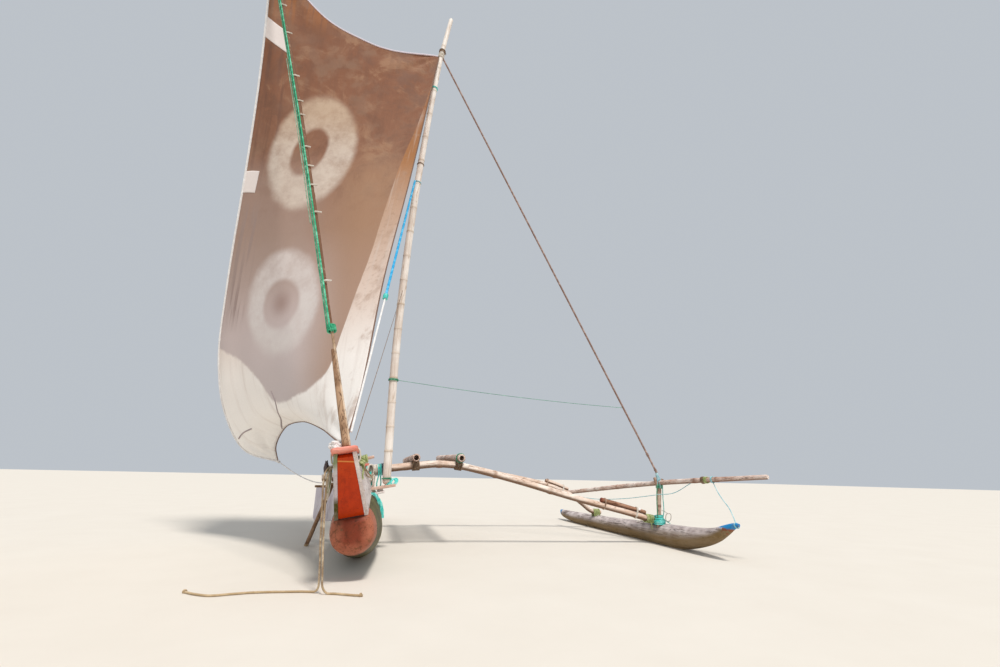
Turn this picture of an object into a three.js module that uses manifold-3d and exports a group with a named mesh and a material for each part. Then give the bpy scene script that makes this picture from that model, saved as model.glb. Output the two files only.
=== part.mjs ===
// A sailing outrigger canoe at rest on its keel: a dugout log with two raised planks, two arched booms,
// a solid float, and a spritsail on a bamboo mast. Millimetres, +Z up, +X to the float, -Y is the near end.
// The origin is the middle of the worn keel, on the ground. The hull leans away from the float by HEEL.
import * as THREE from "three";
import { mergeVertices } from "three/addons/utils/BufferGeometryUtils.js";
import Module from "manifold-3d";

const wasm = await Module();
wasm.setup();

// Driving dimensions
const GAP = 0.3; // left between pieces that touch
const LET_IN = 3; // how far a round piece is let into the one it rests on
const HEEL = 10; // degrees, top towards -X
const LOG_WAIST = 300; // height of the log's widest point
const STRAKE_THICK = 30;
const SHEER = 820; // height of the plank's top amidships, square to the keel
const STEM_FOOT = { y: 2740, v: 500 }; // where the raked stem leaves the log
const STEM_HEAD = { y: 3110, v: 985 };
const BOARD_THICK = 45;
const CAP = { half: 100, thick: 30, inner: 2960, outer: 3200 };
const BOOM_Y = { fore: -950, aft: 930 };
const BOOM_RADIUS = 45;
const BOOM_TIP_RADIUS = 40;
const BOOM_NOTCH = 6; // how far a boom is let into the planks
const FLOAT_X = 4015;
const SPLICE_RADIUS = 32;
const POLE_RADIUS = 52; // the two poles of the deck over the booms
const SPAR_RADIUS = 34; // the long spar over the float
const POST_RADIUS = 30;
const MAST_FOOT_RADIUS = 50;
const KNOT_RADIUS = 18; // at the stay's lower end
const KNOT_GAP = 1.5; // so that the knot can turn in its strop
const STAY_ANCHOR = new THREE.Vector3(3975, -1050, 943);
const STAY_RADIUS = 12;
const SHEET_RADIUS = 7;
const SAIL_THICK = 4;
const PROP_RADIUS = 22;
const PROP_FOOT = new THREE.Vector3(-600, -637, 0);
const BAR = { y: -450, z: 672, radius: 15, outer: -615, inner: -140 };
const LEEBOARD = { thick: 26, top: 300, bottom: 250, height: 400 };
const PAINTER_RADIUS = 8;

const Z = new THREE.Vector3(0, 0, 1);
const Y = new THREE.Vector3(0, 1, 0);
const vec = (x, y, z) => new THREE.Vector3(x, y, z);

// The hull's own frame: u across towards the float, y along, v square up from the keel.
const heel = THREE.MathUtils.degToRad(-HEEL);
const hullMatrix = new THREE.Matrix4()
  .makeTranslation(LOG_WAIST * Math.sin(-heel), 0, 0)
  .multiply(new THREE.Matrix4().makeRotationY(heel));
const fromHull = (u, y, v) => vec(u, y, v).applyMatrix4(hullMatrix);

// Materials by name: colour, roughness
const FINISHES = {
  darkPaint: ["#4f4a22", 0.7],
  whitePaint: ["#cfc9c4", 0.65],
  orangePaint: ["#b23a12", 0.5],
  redPaint: ["#c4604a", 0.6],
  paleWood: ["#b59a86", 0.8],
  greyWood: ["#7d7169", 0.9],
  bamboo: ["#d8cdb8", 0.5],
  brownPole: ["#8a6a50", 0.7],
  tealRope: ["#3fb3a0", 0.9],
  brownRope: ["#6f5a49", 0.9],
  strawRope: ["#8f7a52", 0.9],
  sailCloth: ["#a07a66", 0.95],
};

const canoe = new THREE.Group();
const hull = new THREE.Group();
const rig = new THREE.Group();
hull.applyMatrix4(hullMatrix);
canoe.add(hull, rig);

function place(parent, name, geometry, finish) {
  const [color, roughness] = FINISHES[finish];
  const material = new THREE.MeshStandardMaterial({ color, roughness, metalness: 0 });
  const mesh = new THREE.Mesh(geometry, material);
  mesh.name = name;
  parent.add(mesh);
  return mesh;
}

// A closed surface through sections with the same number of points; both ends are closed by a fan.
function loft(sections) {
  const count = sections[0].length;
  const points = sections.flat();
  const index = [];
  for (let s = 0; s + 1 < sections.length; s++) {
    for (let k = 0; k < count; k++) {
      const a = s * count + k;
      const b = s * count + ((k + 1) % count);
      index.push(a, b, a + count, b, b + count, a + count);
    }
  }
  for (const s of [0, sections.length - 1]) {
    const centre = vec(0, 0, 0);
    sections[s].forEach((p) => centre.addScaledVector(p, 1 / count));
    const hub = points.push(centre) - 1;
    for (let k = 0; k < count; k++) {
      const a = s * count + k;
      const b = s * count + ((k + 1) % count);
      if (s) index.push(a, b, hub);
      else index.push(b, a, hub);
    }
  }
  let volume = 0;
  for (let i = 0; i < index.length; i += 3) {
    const [a, b, c] = [points[index[i]], points[index[i + 1]], points[index[i + 2]]];
    volume += a.dot(b.clone().cross(c));
  }
  if (volume < 0) index.reverse();
  const geometry = new THREE.BufferGeometry().setFromPoints(points);
  geometry.setIndex(index);
  return geometry;
}

// A round timber or rope along a smooth curve, tapering evenly through the radii; one corner faces down.
function spar({ points, radii, steps = 12, sides = 10, up = Z, grow = 0 }) {
  const curve = new THREE.CatmullRomCurve3(points, false, "centripetal");
  const sections = [];
  for (let i = 0; i <= steps; i++) {
    const at = curve.getPointAt(i / steps);
    const along = curve.getTangentAt(i / steps);
    const across = up.clone().cross(along).normalize();
    const over = along.clone().cross(across);
    const share = (i / steps) * (radii.length - 1);
    const low = Math.min(Math.floor(share), radii.length - 2);
    const radius = THREE.MathUtils.lerp(radii[low], radii[low + 1], share - low) + grow;
    const ring = [];
    for (let k = 0; k < sides; k++) {
      const angle = (2 * Math.PI * k) / sides - Math.PI / 2;
      const p = at.clone().addScaledVector(across, radius * Math.cos(angle));
      ring.push(p.addScaledVector(over, radius * Math.sin(angle)));
    }
    sections.push(ring);
  }
  return loft(sections);
}

function solid(geometry) {
  const bare = geometry.clone();
  bare.deleteAttribute("normal");
  bare.deleteAttribute("uv");
  const merged = mergeVertices(bare, 1e-3);
  const vertProperties = new Float32Array(merged.attributes.position.array);
  const triVerts = new Uint32Array(merged.index.array);
  return new wasm.Manifold(new wasm.Mesh({ numProp: 3, vertProperties, triVerts }));
}

function surface(manifold) {
  const mesh = manifold.getMesh();
  const geometry = new THREE.BufferGeometry();
  geometry.setAttribute("position", new THREE.BufferAttribute(new Float32Array(mesh.vertProperties), 3));
  geometry.setIndex(new THREE.BufferAttribute(new Uint32Array(mesh.triVerts), 1));
  return geometry;
}

const cut = (body, ...tools) => surface(tools.reduce((s, t) => s.subtract(solid(t)), solid(body)));
const join = (...bodies) => surface(bodies.map(solid).reduce((a, b) => a.add(b)));
const toHull = (geometry) => geometry.clone().applyMatrix4(hullMatrix.clone().invert());

function box(x0, x1, y0, y1, z0, z1) {
  const geometry = new THREE.BoxGeometry(x1 - x0, y1 - y0, z1 - z0);
  return geometry.translate((x0 + x1) / 2, (y0 + y1) / 2, (z0 + z1) / 2);
}

// Where a round timber rests on another: above the carrier's centre, square to both, and a little let in.
function restOn(point, carrier, resting, distance, side = Z) {
  const normal = carrier.clone().cross(resting).normalize();
  if (normal.dot(side) < 0) normal.negate();
  return point.clone().addScaledVector(normal, distance - LET_IN);
}

// One end's stations as rows from amidships outwards, given again for the other end.
const bothEnds = (rows) => [...rows.slice(1).reverse().map(([y, ...rest]) => [-y, ...rest]), ...rows];

// Log sections: y, half width, keel height, height of the widest point, flat top's height and half width
const LOG_STATIONS = bothEnds([
  [0, 250, 0, LOG_WAIST, 580, 160],
  [1500, 248, 0, LOG_WAIST, 580, 160],
  [1900, 236, 62, 330, 575, 155],
  [2350, 208, 150, 362, 555, 150],
  [2620, 188, 200, 372, 525, 145],
  [2740, 172, 230, 368, 500, 138],
  [2772, 150, 262, 364, 478, 112],
]);
const LOWER_STEPS = 12;
const SHOULDER_STEPS = 3;

function logSection([y, half, keel, waist, top, topHalf]) {
  const crown = (top - waist) / Math.sqrt(1 - (topHalf / half) ** 2);
  const shoulder = Math.asin((top - waist) / crown);
  const points = [];
  for (let i = 0; i <= LOWER_STEPS; i++) {
    const a = Math.PI + (Math.PI * i) / LOWER_STEPS;
    points.push(vec(half * Math.cos(a), y, waist + (waist - keel) * Math.sin(a)));
  }
  for (let i = 1; i <= SHOULDER_STEPS; i++) {
    const a = (shoulder * i) / SHOULDER_STEPS;
    points.push(vec(half * Math.cos(a), y, waist + crown * Math.sin(a)));
  }
  for (let i = SHOULDER_STEPS; i >= 1; i--) {
    const a = Math.PI - (shoulder * i) / SHOULDER_STEPS;
    points.push(vec(half * Math.cos(a), y, waist + crown * Math.sin(a)));
  }
  return points;
}

// Hollow of the log: y, half width at the slot, half width inside, floor height
const HOLLOW_STATIONS = bothEnds([
  [0, 120, 200, 75],
  [1500, 120, 197, 78],
  [2000, 116, 172, 165],
  [2450, 108, 118, 260],
]);
const SLOT_TOP = 700;
const SLOT_EDGE = 520;
const HOLLOW_WAIST = 340;

const hollowSection = ([y, slot, inside, floor]) =>
  [
    [-slot, SLOT_TOP],
    [-slot, SLOT_EDGE],
    [-inside, HOLLOW_WAIST],
    [-inside * 0.62, floor + 20],
    [0, floor],
    [inside * 0.62, floor + 20],
    [inside, HOLLOW_WAIST],
    [slot, SLOT_EDGE],
    [slot, SLOT_TOP],
  ].map(([u, v]) => vec(u, y, v));

// Plank sections: y, outer half width at the foot and at the top, foot height, top height
const PLANK_STATIONS = bothEnds([
  [0, 150, 158, 580, SHEER],
  [1500, 150, 152, 580, SHEER],
  [1900, 148, 140, 575, 845],
  [2350, 143, 122, 555, 898],
  [2620, 138, 108, 525, 938],
  [STEM_FOOT.y, 134, 102, STEM_FOOT.v, 956],
  [2930, 112, 92, 749, 984],
  [STEM_HEAD.y, 88, 86, STEM_HEAD.v, 1010],
]);

function plankRow(y) {
  const i = Math.max(PLANK_STATIONS.findIndex((row) => row[0] >= y), 1);
  const [a, b] = [PLANK_STATIONS[i - 1], PLANK_STATIONS[i]];
  return a.map((value, k) => THREE.MathUtils.mapLinear(y, a[0], b[0], value, b[k]));
}

function plankHalf(y, v) {
  const [, foot, top, low, high] = plankRow(y);
  return THREE.MathUtils.mapLinear(v, low, high, foot, top);
}

function plank(side, grow = 0) {
  const thick = STRAKE_THICK + grow;
  return loft(
    PLANK_STATIONS.map(([y, foot, top, low, high]) => [
      vec(side * foot, y, low + GAP),
      vec(side * top, y, high),
      vec(side * (top - thick), y, high),
      vec(side * (foot - thick), y, low + GAP),
    ]),
  );
}

// A board that fills the width between the planks; its outline is given as y and v.
function between(outline) {
  const overlap = 4;
  const side = (sign) =>
    outline.map(([y, v]) => vec(sign * (plankHalf(y, v) - STRAKE_THICK + overlap), y, v));
  return cut(loft([side(-1), side(1)]), plank(-1, GAP), plank(1, GAP));
}

// Booms: centre line in x and z, from the lee end outwards; the first three points lie on the planks.
const boomRest = (u) => {
  const p = fromHull(u, 0, SHEER + BOOM_RADIUS - BOOM_NOTCH);
  return [p.x, p.z];
};
const BOOM_LINES = {
  fore: [
    boomRest(-400),
    boomRest(-100),
    boomRest(230),
    [420, 926],
    [640, 950],
    [880, 974],
    [1139, 961],
    [1513, 890],
    [1895, 802],
    [2286, 702],
    [2686, 599],
    [3125, 493],
    [3560, 392],
    [3850, 322],
    [4080, 303],
  ],
  aft: [
    boomRest(-330),
    boomRest(-100),
    boomRest(230),
    [420, 934],
    [756, 976],
    [1103, 1010],
    [1461, 990],
    [1953, 903],
    [2457, 826],
    [3124, 690],
    [3530, 535],
    [3730, 405],
    [3900, 285],
    [4080, 256],
  ],
};
const boomPoints = (end) => BOOM_LINES[end].map(([x, z]) => vec(x, BOOM_Y[end], z));
const boomShape = (end, grow = 0) =>
  spar({ points: boomPoints(end), radii: [BOOM_RADIUS, BOOM_RADIUS, BOOM_TIP_RADIUS], steps: 30, grow });
const boomCurve = (end) => new THREE.CatmullRomCurve3(boomPoints(end), false, "centripetal");

// Place and direction of a boom's centre line at a distance out along x.
function boomAt(end, x) {
  const curve = boomCurve(end);
  let [low, high] = [0, 1];
  for (let i = 0; i < 30; i++) {
    const middle = (low + high) / 2;
    if (curve.getPointAt(middle).x < x) low = middle;
    else high = middle;
  }
  return { at: curve.getPointAt(low), along: curve.getTangentAt(low) };
}

// Mast step: a plank through both strakes and out to the float's side, a chock and a short plank below
const STEP = { y0: -1240, y1: -1060, inner: -200, outer: 430, low: 637, high: 669 };
const STEP_LOWER = { y0: -1225, y1: -1075, inner: 104, outer: 300, low: 586, high: 610 };
const CHOCK = { y0: -1190, y1: -1110, inner: 215, outer: 285 };
const MAST_FOOT = fromHull(333, -1150, STEP.high + MAST_FOOT_RADIUS + GAP);

// Cross peg through the planks under the near cap, leaning a little more than the hull
const PEG = { y: -2950, v: 932, inner: -150, outer: 215, rise: 0.1, radius: 14 };
const pegShape = (grow = 0) =>
  spar({
    points: [PEG.inner, 0, PEG.outer].map((u) => vec(u, PEG.y, PEG.v + PEG.rise * u)),
    radii: [PEG.radius, PEG.radius],
    steps: 2,
    sides: 8,
    grow,
  });

const barShape = (grow = 0) =>
  spar({
    points: [BAR.outer, (BAR.outer + BAR.inner) / 2, BAR.inner].map((x) => vec(x, BAR.y, BAR.z)),
    radii: [BAR.radius, BAR.radius],
    steps: 2,
    grow,
  });

// A cap lies on the planks' raked tops; it can be made deeper downwards and higher.
function capShape(sign, deeper = 0, higher = 0) {
  const [, , , , innerTop] = plankRow(CAP.inner);
  const slope = (PLANK_STATIONS.at(-1)[4] - innerTop) / (STEM_HEAD.y - CAP.inner);
  const under = (y) => innerTop + GAP + slope * (y - CAP.inner);
  const end = (y, half) =>
    [[-half, -deeper], [half, -deeper], [half, CAP.thick + higher], [-half, CAP.thick + higher]].map(
      ([u, v]) => vec(u, sign * y, under(y) + v),
    );
  return loft([end(CAP.inner, CAP.half), end(CAP.outer - 30, CAP.half), end(CAP.outer, CAP.half - 18)]);
}

function buildHull() {
  const ground = toHull(box(-1500, 1500, -4000, 4000, -600, 0));
  const log = cut(loft(LOG_STATIONS.map(logSection)), loft(HOLLOW_STATIONS.map(hollowSection)), ground);
  place(hull, "dugout_log", log, "darkPaint");

  const slot = ({ y0, y1, inner, outer, low, high }) =>
    box(inner - GAP, outer + GAP, y0 - GAP, y1 + GAP, low - GAP, high + GAP);
  const notches = ["fore", "aft"].map((end) => toHull(boomShape(end, GAP)));
  const steps = [slot(STEP), slot(STEP_LOWER)];
  const openings = [...notches, ...steps, pegShape(GAP), toHull(barShape(GAP))];
  place(hull, "plank_float_side", cut(plank(1), ...openings), "whitePaint");
  place(hull, "plank_lee_side", cut(plank(-1), ...openings), "whitePaint");

  const rake = vec(0, STEM_HEAD.y - STEM_FOOT.y, STEM_HEAD.v - STEM_FOOT.v).normalize();
  const boardLength = 590;
  for (const [name, sign] of [["near", -1], ["far", 1]]) {
    const foot = [STEM_FOOT.y + 4, STEM_FOOT.v + 6];
    const head = [foot[0] + rake.y * boardLength, foot[1] + rake.z * boardLength];
    const inwards = [-rake.z * BOARD_THICK, rake.y * BOARD_THICK];
    const inside = ([y, v]) => [y + inwards[0], v + inwards[1]];
    const outline = [foot, head, inside(head), inside(foot)];
    place(hull, `end_board_${name}`, between(outline.map(([y, v]) => [sign * y, v])), "orangePaint");
    place(hull, `end_cap_${name}`, capShape(sign), "redPaint");
  }

  const THWARTS = [
    ["thwart_1", -2050, 150, 720],
    ["thwart_2", -560, 160, 690],
    ["thwart_3", 560, 160, 690],
    ["thwart_4", 2050, 150, 720],
  ]; // name, y, width, height
  const thwartThick = 26;
  for (const [name, y, width, v] of THWARTS) {
    const [y0, y1, top] = [y - width / 2, y + width / 2, v + thwartThick];
    place(hull, name, between([[y0, v], [y1, v], [y1, top], [y0, top]]), "paleWood");
  }

  const stepPlank = ({ y0, y1, inner, outer, low, high }) => box(inner, outer, y0, y1, low, high);
  place(hull, "mast_step", stepPlank(STEP), "paleWood");
  place(hull, "mast_step_lower", stepPlank(STEP_LOWER), "whitePaint");
  const chock = { ...CHOCK, low: STEP_LOWER.high + GAP, high: STEP.low - GAP };
  place(hull, "mast_step_chock", stepPlank(chock), "whitePaint");
  place(hull, "bow_peg", pegShape(), "paleWood");
}

// Float sections: y, underside, top, half width
const FLOAT_STATIONS = [
  [-2462, 368, 400, 14],
  [-2380, 330, 398, 40],
  [-2250, 248, 368, 70],
  [-2080, 156, 322, 92],
  [-1770, 56, 290, 112],
  [-1400, -4, 280, 122],
  [-950, -6, 262, 124],
  [-400, -6, 250, 122],
  [300, -6, 228, 118],
  [930, -6, 215, 114],
  [1700, -4, 203, 108],
  [2200, 25, 198, 92],
  [2520, 80, 196, 52],
  [2620, 130, 186, 14],
];
const FLOAT_SIDES = 16;

function floatShape(grow = 0) {
  return loft(
    FLOAT_STATIONS.map(([y, low, top, half]) =>
      Array.from({ length: FLOAT_SIDES }, (_, k) => {
        const a = (2 * Math.PI * k) / FLOAT_SIDES + Math.PI / 2;
        const z = (low + top) / 2 + ((top - low) / 2 + grow) * Math.sin(a);
        return vec(FLOAT_X + (half + grow) * Math.cos(a), y, z);
      }),
    ),
  );
}

function buildFloat() {
  const ground = box(FLOAT_X - 400, FLOAT_X + 400, -4000, 4000, -300, 0);
  place(canoe, "float", cut(floatShape(), ground), "greyWood");
  for (const end of ["fore", "aft"]) {
    place(canoe, `boom_${end}`, cut(boomShape(end), floatShape(GAP)), "paleWood");
    buildSplice(end);
    buildFloatLashing(end);
  }
}

// A second timber that doubles the outer end of a boom, lying on top of it
const SPLICES = { fore: [3120, 3800], aft: [3020, 3440] }; // from and to, along x

function buildSplice(end) {
  const [from, to] = SPLICES[end];
  const points = [0, 1, 2, 3, 4].map((i) => {
    const { at, along } = boomAt(end, THREE.MathUtils.lerp(from, to, i / 4));
    return restOn(at, along, Y, BOOM_TIP_RADIUS + SPLICE_RADIUS);
  });
  const timber = spar({ points, radii: [SPLICE_RADIUS, SPLICE_RADIUS - 4], steps: 6 });
  place(canoe, `boom_splice_${end}`, cut(timber, boomShape(end, GAP)), "paleWood");
}

// Rope saddle over a boom's tip, with its two feet on the float
function buildFloatLashing(end) {
  const thick = 14;
  const [from, to] = [FLOAT_X - 85, FLOAT_X + 35];
  const top = FLOAT_STATIONS.find(([y]) => y === BOOM_Y[end])[2];
  const centre = boomAt(end, FLOAT_X - 25).at.z;
  const inner = BOOM_TIP_RADIUS + 3;
  const foot = top - 10 - centre;
  const outline = new THREE.Shape();
  outline.moveTo(-inner - thick, foot);
  outline.lineTo(-inner - thick, 0);
  outline.absarc(0, 0, inner + thick, Math.PI, 0, true);
  outline.lineTo(inner + thick, foot);
  outline.lineTo(inner, foot);
  outline.lineTo(inner, 0);
  outline.absarc(0, 0, inner, 0, Math.PI, false);
  outline.lineTo(-inner, foot);
  const options = { depth: to - from, bevelEnabled: false, curveSegments: 8 };
  const arch = new THREE.ExtrudeGeometry(outline, options);
  arch.applyMatrix4(new THREE.Matrix4().makeBasis(Y, Z, vec(1, 0, 0)));
  arch.translate(from, BOOM_Y[end], centre);
  place(canoe, `float_lashing_${end}`, cut(arch, floatShape(GAP), boomShape(end, GAP)), "tealRope");
}

// Forked post on the float, the long spar that lies in its fork and on the aft boom, and the stay's strop
function buildSpar() {
  const post = { x: 3945, y: -1050, top: { x: 4003, z: 795 } };
  const crossing = boomAt("aft", 3530);
  const crotch = vec(post.top.x, post.y, post.top.z);
  const lie = crotch.clone().sub(crossing.at).normalize();
  const onBoom = restOn(crossing.at, crossing.along, lie, BOOM_TIP_RADIUS + 2 + SPAR_RADIUS);
  const run = crotch.clone().sub(onBoom);
  const points = [
    onBoom.clone().addScaledVector(run, -0.09),
    onBoom,
    crotch,
    vec(4364, -2600, 894),
  ];
  const radii = [SPAR_RADIUS, SPAR_RADIUS, SPAR_RADIUS, SPAR_RADIUS - 6];
  const sparShape = (grow = 0) => spar({ points, radii, steps: 14, grow });
  place(canoe, "float_spar", cut(sparShape(), boomShape("aft", GAP)), "paleWood");

  const legs = [
    [vec(post.x, post.y, 180), vec((post.x + crotch.x) / 2, post.y, 500), vec(crotch.x, post.y, 745)],
    [vec(crotch.x - 4, post.y, 725), vec(crotch.x - 46, post.y, 790), vec(crotch.x - 62, post.y, 868)],
    [vec(crotch.x + 4, post.y, 725), vec(crotch.x + 46, post.y, 790), vec(crotch.x + 58, post.y, 850)],
  ];
  const thickness = [POST_RADIUS, POST_RADIUS - 9, POST_RADIUS - 9];
  const branch = (points, i) => spar({ points, radii: [thickness[i], thickness[i]], steps: 4, up: Y });
  const tree = legs.map(branch);
  const fork = cut(join(...tree), sparShape(GAP), floatShape(GAP));
  place(canoe, "crutch_post", fork, "paleWood");

  const bottom = crotch.clone().add(vec(-8, 0, SPAR_RADIUS - 6));
  const strop = spar({
    points: [bottom, bottom.clone().lerp(STAY_ANCHOR, 0.5), STAY_ANCHOR],
    radii: [18, 13],
    steps: 3,
    sides: 8,
    up: Y,
  });
  place(canoe, "stay_strop", cut(strop, sparShape(GAP), fork, stayKnot(KNOT_GAP)), "tealRope");
}

function buildDeck() {
  const POLES = [
    ["deck_pole_inner", 600, 150, 130],
    ["deck_pole_outer", 1145, 150, 130],
  ]; // name, x, reach past the fore boom, reach past the aft boom
  const tops = [];
  const poles = [];
  for (const [name, x, near, far] of POLES) {
    const seats = ["fore", "aft"].map((end) => {
      const { at, along } = boomAt(end, x);
      return restOn(at, along, Y, BOOM_RADIUS + POLE_RADIUS);
    });
    const along = seats[1].clone().sub(seats[0]);
    const span = along.length();
    const points = [-near / span, 0.5, 1 + far / span].map((t) => seats[0].clone().addScaledVector(along, t));
    const pole = (grow) => spar({ points, radii: [POLE_RADIUS, POLE_RADIUS], steps: 6, sides: 12, grow });
    place(canoe, name, cut(pole(0), boomShape("fore", GAP), boomShape("aft", GAP)), "bamboo");
    tops.push(seats);
    poles.push(pole(GAP));
  }
  const slats = { count: 13, width: 60, thick: 14, overhang: 30, from: -780, to: 760 }; // under the poles
  const battens = { places: [780, 980], width: 40, reach: 40, low: -4, high: 22 }; // on the slats
  const [inner, outer] = tops;
  const bodies = [];
  const heightAt = (seats, y) =>
    THREE.MathUtils.mapLinear(y, seats[0].y, seats[1].y, seats[0].z, seats[1].z) - POLE_RADIUS + LET_IN;
  const slatBody = (y0, y1, x0, x1, low, high) => {
    const end = (y) =>
      [[x0, low], [x1, low], [x1, high], [x0, high]].map(([x, lift]) => {
        const t = THREE.MathUtils.inverseLerp(inner[0].x, outer[0].x, x);
        return vec(x, y, THREE.MathUtils.lerp(heightAt(inner, y), heightAt(outer, y), t) + lift);
      });
    return loft([end(y0), end(y1)]);
  };
  for (let i = 0; i < slats.count; i++) {
    const y = THREE.MathUtils.lerp(slats.from, slats.to, i / (slats.count - 1));
    const ends = [inner[0].x - slats.overhang, outer[0].x + slats.overhang];
    bodies.push(slatBody(y - slats.width / 2, y + slats.width / 2, ...ends, -slats.thick, 0));
  }
  for (const x of battens.places) {
    const sides = [x - battens.width / 2, x + battens.width / 2];
    const [from, to] = [slats.from - battens.reach, slats.to + battens.reach];
    bodies.push(slatBody(from, to, ...sides, battens.low, battens.high));
  }
  place(canoe, "deck_slats", cut(join(...bodies), ...poles), "paleWood");
}

// Mast centre line: x and z above the foot; it bows towards the hull, then leans out to the stay.
const MAST_LINE = [
  [246, 1150],
  [226, 1900],
  [222, 2600],
  [240, 3500],
  [290, 4700],
  [376, 6000],
  [500, 7440],
  [622, 8330],
];
const SPRIT = {
  foot: vec(-98, -3124, 1000),
  head: vec(-2205, -1385, 8500),
  bow: 36,
  radii: [36, 42, 40, 26],
};

const mastShape = (grow = 0) =>
  spar({
    points: [MAST_FOOT, ...MAST_LINE.map(([x, z]) => vec(x, MAST_FOOT.y, z))],
    radii: [MAST_FOOT_RADIUS, 52, 50, 44, 36],
    steps: 28,
    sides: 12,
    up: Y,
    grow,
  });

// The mast stands on a rounded heel, so that it can rake without lifting.
function buildMast() {
  const sides = 12;
  const ring = (radius, drop) =>
    Array.from({ length: sides }, (_, k) => {
      const around = (2 * Math.PI * k) / sides;
      return vec(radius * Math.cos(around), radius * Math.sin(around), drop).add(MAST_FOOT);
    });
  const turns = [0.14, 0.5, 1, Math.PI / 2];
  const dome = turns.map((a) => ring(MAST_FOOT_RADIUS * Math.sin(a), -MAST_FOOT_RADIUS * Math.cos(a)));
  const heelShape = loft([...dome, ring(MAST_FOOT_RADIUS - 3, 30)]);
  place(rig, "mast", join(mastShape(), heelShape), "bamboo");
}

function spritShape(grow = 0) {
  const { foot, head, bow, radii } = SPRIT;
  const points = [0, 0.25, 0.5, 0.75, 1].map((t) => {
    const p = foot.clone().lerp(head, t);
    p.x += bow * Math.sin(Math.PI * t);
    return p;
  });
  return spar({ points, radii, steps: 16, up: Y, grow });
}

// The sprit stands on the near cap, its foot cut to the cap's top.
function buildSprit() {
  const underCap = capShape(-1, 400, GAP).applyMatrix4(hullMatrix);
  place(rig, "sprit", cut(spritShape(), underCap), "brownPole");
}

// Sail edges, each from its first corner to its second
const SAIL = {
  tack: vec(-131, -3052, 1066),
  clew: vec(-1164, -100, 976),
  throat: vec(470, -1155, 7440),
  peak: vec(-2178, -1372, 8385),
  foot: [
    vec(-1178, -300, 1148),
    vec(-1032, -700, 1363),
    vec(-751, -1300, 1392),
    vec(-423, -2100, 1248),
    vec(-204, -2790, 1096),
  ],
  head: [
    vec(-1892, -1320, 8079),
    vec(-1544, -1280, 7721),
    vec(-1209, -1250, 7475),
    vec(-762, -1220, 7332),
    vec(-328, -1200, 7271),
  ],
  leech: [
    vec(-1584, -120, 1105),
    vec(-1882, -220, 1577),
    vec(-2042, -350, 2241),
    vec(-2068, -550, 3195),
    vec(-2041, -900, 4926),
    vec(-2069, -1150, 6562),
  ],
  luff: [vec(-77, -2700, 1552), vec(1, -2100, 2932), vec(193, -1600, 4729)],
};
const SAIL_ROWS = 16;
const SAIL_COLUMNS = 10;

// The sail's surface between its four edges; s runs from foot to head and t from leech to luff.
function sailSurface() {
  const through = (...points) => new THREE.CatmullRomCurve3(points, false, "centripetal");
  const foot = through(SAIL.clew, ...SAIL.foot, SAIL.tack);
  const head = through(SAIL.peak, ...SAIL.head, SAIL.throat);
  const leech = through(SAIL.clew, ...SAIL.leech, SAIL.peak);
  const luff = through(SAIL.tack, ...SAIL.luff, SAIL.throat);
  return (s, t) => {
    const p = foot.getPointAt(t).multiplyScalar(1 - s).addScaledVector(head.getPointAt(t), s);
    p.addScaledVector(leech.getPointAt(s), 1 - t).addScaledVector(luff.getPointAt(s), t);
    p.addScaledVector(SAIL.clew, -(1 - s) * (1 - t)).addScaledVector(SAIL.tack, -(1 - s) * t);
    return p.addScaledVector(SAIL.peak, -s * (1 - t)).addScaledVector(SAIL.throat, -s * t);
  };
}

function buildSail() {
  const at = sailSurface();
  const rows = [];
  for (let i = 0; i <= SAIL_ROWS; i++) {
    const s = i / SAIL_ROWS;
    const front = [];
    const back = [];
    for (let k = 0; k <= SAIL_COLUMNS; k++) {
      const p = at(s, k / SAIL_COLUMNS);
      front.push(p.clone().addScaledVector(Y, -SAIL_THICK / 2));
      back.unshift(p.clone().addScaledVector(Y, SAIL_THICK / 2));
    }
    rows.push([...front, ...back]);
  }
  const sail = cut(loft(rows), mastShape(GAP), spritShape(GAP), sheetShape(GAP));
  place(rig, "sail", sail, "sailCloth");
}

const stayKnot = (grow = 0) =>
  new THREE.SphereGeometry(KNOT_RADIUS + grow, 12, 8).translate(...STAY_ANCHOR.toArray());

// The rig rakes about the line from the mast's foot to the stay's lower end; the sheet is belayed on it.
const RAKE_LINE = STAY_ANCHOR.clone().sub(MAST_FOOT);
const BELAY = MAST_FOOT.clone().addScaledVector(RAKE_LINE, (-292 - MAST_FOOT.x) / RAKE_LINE.x);

const sheetShape = (grow = 0) =>
  spar({
    points: [BELAY, vec(-560, -850, 728), vec(-860, -480, 820), SAIL.clew],
    radii: [SHEET_RADIUS, SHEET_RADIUS],
    steps: 14,
    sides: 8,
    grow,
  });

function buildRigging() {
  const head = vec(530, MAST_FOOT.y, 7431);
  const stay = spar({
    points: [STAY_ANCHOR, STAY_ANCHOR.clone().lerp(head, 0.5), head],
    radii: [STAY_RADIUS, STAY_RADIUS],
    steps: 8,
    sides: 8,
    up: Y,
  });
  place(rig, "outrigger_stay", cut(join(stay, stayKnot()), mastShape(GAP)), "brownRope");
  place(rig, "mainsheet", sheetShape(), "tealRope");

  const cleat = spar({
    points: [-138, -170, -205].map((u) => fromHull(u, BELAY.y + 26, 742)),
    radii: [13, 11],
    steps: 2,
    sides: 8,
  });
  place(canoe, "sheet_cleat", cut(cleat, plank(-1, 0).applyMatrix4(hullMatrix)), "paleWood");
}

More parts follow.
